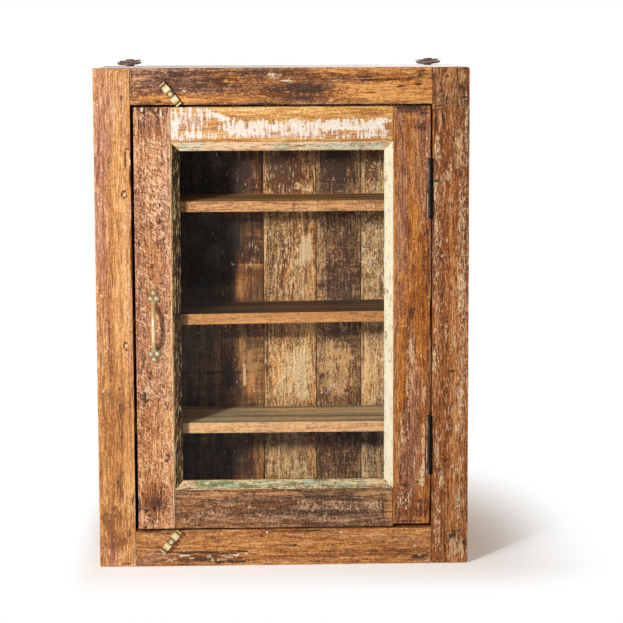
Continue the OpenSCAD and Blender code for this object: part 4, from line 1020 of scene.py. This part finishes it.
def tilted(tilt):
    """Tilts a shelf, up to the right."""
    def shape(points, rest):
        points[:, 2] += tilt * rest[:, 0]
        return points

    return shape


for n, (node, (palette, top_colours, look)) in enumerate(SHELF_LOOKS.items()):
    look = {"contrast": 0.9, "fleck_colour": "f0caa0", **look}
    material = wood("wood " + node.replace("_", " "), palette, grain="x", seed=41 + n,
                    paint_colours=top_colours, paint_rough=0.3, **look)
    tilt = SHELF_TILT if node == "shelf_middle" else 0.0
    lo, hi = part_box(node)
    half_x = (hi.x - lo.x) / 2
    low = lo.z + tilt * half_x
    high = hi.z - tilt * half_x
    mesh = board(material, node, seed=70 + n, grain="x", step=1.6 * MM, edge=0.6 * MM, rough=0.8,
                 lo=(lo.x, lo.y, low), hi=(hi.x, hi.y, high), marks=SHELF_MARKS[node], plane=lo.y,
                 shape=tilted(tilt)).data

    # The upper face is painted
    co = np.array([vertex.co for vertex in mesh.vertices])
    z_flat = co[:, 2] - tilt * co[:, 0]
    on_top = smooth(z_flat, high - 0.9 * MM, high - 0.5 * MM)
    on_top *= smooth(co[:, 1], lo.y + 0.2 * MM, lo.y + 1.2 * MM)
    mesh.attributes["paint"].data.foreach_set("value", (1.3 * on_top).astype(np.float32))

PLANK_LAP = 5 * MM
PLANK_MID = (PLANKS + BACK) / 2

# The planks of the back, from left to right: dull and warm colours, and the rest of the look; the first two,
# in the left door stile's shadow, get near-black colours as painted shade
SHADED_DARK_WARM = "2c1a0e 44280f 5c3a1c 7a5230 a47a4c"
PLANK_LOOKS = [
    ("20160f 2b1f15 3a2a1c 4d3826 604732", SHADED_DARK_WARM, dict(saw=1.2, fleck=0.0, pore=0.9)),
    ("20160f 2f2117 3d2d1f 523c28 6a5036", SHADED_DARK_WARM, dict(saw=1.5, fleck=0.0, pore=0.9)),
    ("261608 40301a 604a2c 8a6e4c b89a70", "301808 522e12 7a4e24 a27644 cfa472",
     dict(saw=2.2, fleck=0.1, pore=0.9, grit=0.8, gain=(0.96, 0.7, 0.44))),
    ("4a2e16 704e2a 9e7a50 c29c70 e6c49a", "522c10 7c4824 a46e3c c8925e eabe88",
     dict(fleck=0.4, pits=0.8, saw=1.0, hue=0.3, gain=(1.46, 1.4, 1.14))),
    ("32200f 4a301b 6a4d33 8a6f52 b89870", "38200c 54311a 754b2b 946e48 bc9266",
     dict(saw=2.0, fleck=0.15, flecks=((0, 560, 120), (90, 560, 120)), hue=0.35,
          gain=(1.42, 1.28, 1.0))),
    ("4e3824 73583a 927250 b08e68 d2b088", "62401f 86603a a57d55 bd956c ddb58d",
     dict(fleck=0.35, pits=1.0, contrast=1.1, flecks=((30, 520, 180), (-40, 520, 200)),
          gain=(1.46, 1.42, 1.12))),
    ("4a2f1a 694528 85603c a17a50 c09a70", None, {}),
]
# Marks of the back planks: the dark tone at the top of each compartment, under the shelf or rail above, is
# painted shade; on the first two planks the darker upper compartments are painted shade and the lighter lower
# ones painted light
PLANK_MARKS_AND_SHADE = [
    """
        tone 190 235 30 90 -1.4; 190 370 30 40 .8; 190 470 30 30 1.1""",
    """
        tone 205 235 36 90 -1.3; 210 370 30 40 .6; 210 470 30 30 .7; 205 372.5 40 1 -1.2; 205 356 34 5 -.4""",
    """
        tone 240 175 26 26 -1.2; 240 250 26 40 -.8; 228 370 12 30 -.4; 226 250 12 90 -.5; 246 365 14 40 .5
        246 280 14 18 .5; 254 372 9 30 .9; 235 350 14 12 .2; 232 225 14 8 -.5; 240 372.6 26 .9 -1.6
        240 165 24 16 -.3; 240 460 24 16 -.5; 245 220 16 4 -.6; 235 250 14 4 -.6; 246 265 20 1.2 .8
        232 380 9 9 -.8; 240 470 24 1.2 -.8; 245 480 14 4 .4
        hue 246 282 16 20 1.2; 235 235 14 20 -1; 255 385 9 14 1; 252 180 12 10 .8
        paint 246.4 374 1 17 1; 238 378 .8 7 .8; 233.5 264 3 2 .8
        fleck 254 182 9 10 .8; 256 250 7 16 .7; 252 262 10 8 .4""",
    """
        tone 290 170 30 26 -1.2; 290 370 26 34 .8; 290 455 26 16 .2; 267 350 1.4 46 -1.4; 285 262 12 28 -.3
        290 185 26 12 -.3; 279 262 4 34 .7; 270 380 3 30 -.4; 290 335 24 4 -.6; 267 460 1.2 22 -1
        308 290 8 8 .6; 296 388 6 5 -.6; 286 360 8 6 -.4
        hue 290 185 26 14 1; 285 262 12 24 .8; 279 262 4 34 -.6; 275 370 8 30 .8; 300 360 12 30 -.8
        300 470 14 14 -1; 270 480 6 8 .8
        paint 309 251 6.5 16 1.05; 303 262 7 3.6 .8; 313 238 3 6 .6; 300 186 5 4 .8; 309 190 5 2.4 .8
        305 372 11 28 .75; 293 362 9 16 .5; 285 390 12 10 .4; 307 290 8 8 .35; 300 466 12 10 .45
        305 396 9 4 .7; 283 247 3 4 .6; 276 270 2 16 .45; 283 350 1.6 12 .5; 276 346 1.2 10 .6
        fleck 290 262 22 36 .5; 285 380 16 24 .6; 285 175 20 14 .1""",
    """
        tone 338 170 26 26 -1.2; 338 250 26 40 -.3; 338 365 26 34 .8; 323 369 9 3 .9; 334 365 9 3 1
        345 361 9 3 1; 354 357 8 3 .9; 345 352 16 8 .6; 330 352 12 4 .2; 338 333 24 6 -.7; 338 375 22 3 -.3
        338 288 22 14 -.5; 338 460 22 20 -.6; 338 160 22 12 -.7; 338 250 20 16 .1; 338 390 22 10 .3
        325 396 8 3 -.7; 345 170 10 1 .8; 338 480 22 3 .4
        hue 338 250 22 30 .5; 338 360 26 34 -.9; 338 388 22 12 .4; 338 230 20 6 -.8
        fleck 338 388 20 12 .9; 338 250 20 30 .3; 338 180 18 10 .1""",
    """
        tone 372 375 16 34 1; 372 170 16 26 -.7; 372 160 14 8 -.9; 372 440 14 7 -.9; 372 330 12 4 -.6
        372 222 14 6 -.7; 365 238 4 6 .6; 363 340 1 60 -1; 375 385 6 6 -.4
        hue 372 300 14 40 .2; 372 375 14 28 .6; 372 460 14 16 -.6
        paint 376 165 4 5 .45; 364 172 1.4 8 .6; 372 282 7 4 .4
        fleck 372 250 14 60 .4; 375 190 9 12 .5""",
    "",
]


def lapped(lo_x, hi_x, first, last):
    """Steps the plank's edges: its front half ends short on the right, its back half on the left."""
    width = hi_x - lo_x
    fit = (width - PLANK_LAP) / width

    def shape(points, rest):
        before = rest[:, 1] < PLANK_MID
        if not last:
            points[before, 0] = lo_x + (points[before, 0] - lo_x) * fit
        if not first:
            points[~before, 0] = hi_x - (hi_x - points[~before, 0]) * fit
        return points

    return shape


for n, ((cool, warm, look), marks) in enumerate(zip(PLANK_LOOKS, PLANK_MARKS_AND_SHADE)):
    node = "back_plank_%d" % (n + 1)
    material = wood("wood back plank %d" % (n + 1), cool, warm, seed=51 + n,
                    **{"fleck_colour": "fbe4c0", "paint_colours": ("c49858", "ffe6b8"),
                       "paint_noise": ((0, 360, 150, 2.6), (90, 300, 100, 1.6)), **look})
    lo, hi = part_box(node)
    board(material, node, step=1.6 * MM, edge=0.8 * MM, plane=PLANKS, marks=marks,
          dents=BACK_NAILS, lines_y=(PLANK_MID - 0.05 * MM, PLANK_MID + 0.05 * MM),
          shape=lapped(lo.x, hi.x, n == 0, n == len(PLANK_LOOKS) - 1), seed=80 + n)

CASE = wood(
    "wood case boards", "3c2618 5c3e2a 7a5a40 9c7a58 c4a078", "4a2a14 6e4422 906238 b08452 d0a878", seed=61)
CASE_TOP = wood(
    "wood case top", "8a7464 bca898 e4d6ca f4ece4 fbf7f2", "7a5a48 a88670 cfb09c e8d2c2 f6e8dc", grain="x",
    seed=62, contrast=0.8, fleck=0.4, fleck_colour="fbf2ea")
CASE_BOTTOM = wood(
    "wood case bottom", "4a3220 644530 7c5a40 946f50 ac8866", "4a3220 6c4426 886038 a27c50 bc9870",
    grain="x", seed=63)
BATTEN = wood("wood battens", "3a2415 553620 6e4a2c 86603c a47a50", grain="y", seed=64)
SIDES = ("left", "right")
for n, side in enumerate(SIDES):
    board(CASE, "side_" + side, step=2 * MM, edge=0.9 * MM, seed=90 + n)
board_top = board(CASE_TOP, "top_board", name="board_top", grain="x", step=2 * MM, edge=0.9 * MM,
                  dents=END_NAILS, seed=92)
board(CASE_BOTTOM, "bottom_board", name="board_bottom", grain="x", step=2 * MM, edge=0.9 * MM,
      dents=END_NAILS, seed=93)

# Fittings

HANGER = iron("iron hangers", "4a3630", "7a6054", "b09484", 0.5)
IRON = hinge_iron("iron hinges")
NAIL = nails("iron nails")
HANDLE = brass("brass handle", "a07a48", "ecca8c", "fff2cc", 0.75, 0.45, 0.3)
BRASS_SCREW = brass("brass screws", "8a6c44", "d8bc8c", "fff0cc", 0.0, 0.5)
STEEL = iron("steel screws", "3a3432", "6a605a", "a09488", 0.4)
GLASS = glass("glass pane")
PIN = iron("brads", "2c2622", "5a4a40", "8a7060", 0.6)

LEVELS = ("bottom", "middle", "top")
CAD_LOOKS = {
    HANGER: [part + side for part in ("hanger_strap_", "hanging_ring_") for side in SIDES],
    IRON: [part + level for part in ("hinge_leaf_frame_", "hinge_leaf_door_", "hinge_pin_")
           for level in ("top", "bottom")],
    NAIL: ["case_nails", "frame_nails"],
    STEEL: ["hanger_screws", "hinge_screws_frame", "hinge_screws_door"],
    HANDLE: ["handle"],
    BRASS_SCREW: ["button_screws", "handle_screws"],
    GLASS: ["glass_pane"],
    PIN: ["glazing_pins"],
    BATTEN: ["batten_%s_%s" % (level, side) for level in LEVELS for side in SIDES],
}
for level, turn in (("top", -1), ("bottom", 1)):
    node = "turn_button_" + level
    CAD_LOOKS[button_brass("brass turn button " + level, node, turn)] = [node]
for material, nodes in CAD_LOOKS.items():
    for node in nodes:
        mesh = frame["nodes"][node].data
        mesh.materials.clear()
        mesh.materials.append(material)

# Floor, light and camera

def floor_material():
    """A pale floor that keeps the shadow and fades to white around the cabinet."""
    t = Tree("floor")
    lo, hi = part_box("frame_stile_left")[0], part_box("frame_stile_right")[1]
    place = t.axes()
    reach = []
    for axis, low, high, here, there in ((0, lo.x, hi.x, 4.0, 0.9), (1, lo.y, BACK, 1.0, 0.3)):
        before = t.math("MAXIMUM", t.math("SUBTRACT", low, place[axis]), 0.0)
        behind = t.math("MAXIMUM", t.math("SUBTRACT", place[axis], high), 0.0)
        reach.append(t.total(0.0, (before, here), (behind, there)))
    far = t.math("SQRT", t.total(0.0, (reach[0], reach[0]), (reach[1], reach[1])))
    path = t.add("ShaderNodeLightPath").outputs
    lit = t.add("ShaderNodeBsdfDiffuse", {"Color": (0.67, 0.715, 0.75, 1)})
    glow = t.add("ShaderNodeEmission", {"Color": (1.0, 0.79, 0.65, 1), "Strength": 0.38})
    near = t.add("ShaderNodeAddShader", {0: lit.outputs[0], 1: glow.outputs[0]})
    white = t.add("ShaderNodeEmission", {"Color": (1, 1, 1, 1), "Strength": 1.0})
    fade = t.step(far, 0.01, 0.16)
    seen = t.add("ShaderNodeMixShader", {0: fade, 1: near.outputs[0], 2: white.outputs[0]})
    straight = t.math("MAXIMUM", path["Is Camera Ray"], path["Is Transmission Ray"])
    straight = t.math("MAXIMUM", straight, path["Is Glossy Ray"])
    both = t.add("ShaderNodeMixShader", {0: straight, 1: lit.outputs[0], 2: seen.outputs[0]})
    t.add("ShaderNodeOutputMaterial", {"Surface": both.outputs[0]})
    return t.owner


FLOOR_RADIUS = 3.0
FLOOR_AT = (0, 0, -0.3 * MM)
bpy.ops.mesh.primitive_circle_add(vertices=96, radius=FLOOR_RADIUS, fill_type="NGON", location=FLOOR_AT)
floor = bpy.context.object
floor.name = "floor"
floor.data.materials.append(floor_material())

# A white background, plain light on the object, and what the glass and the brass mirror: darker in front
AMBIENT = 0.09
world = bpy.data.worlds.new("studio")
bpy.context.scene.world = world
sky = Tree(world)
path = sky.add("ShaderNodeLightPath").outputs
toward = sky.add("ShaderNodeSeparateXYZ", {0: sky.coordinates["Generated"]}).outputs["Y"]
mirrored = sky.add("ShaderNodeMapRange", {0: toward, 1: -0.35, 2: 0.35, 3: 0.3, 4: 1.0},
                   interpolation_type="SMOOTHSTEP").outputs[0]
either = sky.math("MAXIMUM", path["Is Glossy Ray"], path["Is Transmission Ray"])
pick = sky.add("ShaderNodeMix", {0: either, 2: AMBIENT, 3: mirrored}).outputs[0]
strength = sky.math("MAXIMUM", pick, path["Is Camera Ray"])
background = sky.add("ShaderNodeBackground", {0: (1, 1, 1, 1), 1: strength})
sky.add("ShaderNodeOutputWorld", {0: background.outputs[0]})


def lamp(name, azimuth, elevation, distance, size, power, target=(0, -0.05, 0.3)):
    """A soft lamp at an angle to the left (-) or right (+) of the front; degrees, metres and watts."""
    a, e = math.radians(azimuth), math.radians(elevation)
    away = Vector((math.sin(a) * math.cos(e), -math.cos(a) * math.cos(e), math.sin(e)))
    data = bpy.data.lights.new(name, "AREA")
    data.shape = "DISK"
    data.size = size
    data.energy = power
    obj = bpy.data.objects.new(name, data)
    obj.location = Vector(target) + away * distance
    obj.rotation_euler = away.to_track_quat("Z", "Y").to_euler()
    bpy.context.scene.collection.objects.link(obj)
    return obj


lamp("key", azimuth=-30, elevation=14, distance=2.0, size=0.22, power=34)

# A higher lamp for what lies flat: the floor and the top board
flat = bpy.data.collections.new("flat")
flat.objects.link(floor)
flat.objects.link(board_top)
floor_lamp = lamp("floor lamp", azimuth=-36, elevation=38, distance=2.4, size=0.95, power=28)
floor_lamp.light_linking.receiver_collection = flat

# A lamp behind the cabinet, which leaves the floor alone
whole = bpy.data.collections.new("whole")
for obj in bpy.context.scene.objects:
    if obj.type == "MESH" and obj is not floor:
        whole.objects.link(obj)
back_lamp = lamp("back lamp", azimuth=165, elevation=32, distance=2.6, size=1.2, power=36)
back_lamp.light_linking.receiver_collection = whole

camera_data = bpy.data.cameras.new("camera")
camera_data.sensor_width = SENSOR
camera_data.lens = FOCAL_PX * SENSOR / IMAGE
camera = bpy.data.objects.new("camera", camera_data)
bpy.context.scene.collection.objects.link(camera)
camera.matrix_world = Matrix((
    (SIDE.x, UP.x, -FORWARD.x, CAMERA_AT.x),
    (SIDE.y, UP.y, -FORWARD.y, CAMERA_AT.y),
    (SIDE.z, UP.z, -FORWARD.z, CAMERA_AT.z),
    (0, 0, 0, 1),
))
bpy.context.scene.camera = camera
bpy.context.scene.view_settings.view_transform = "Standard"
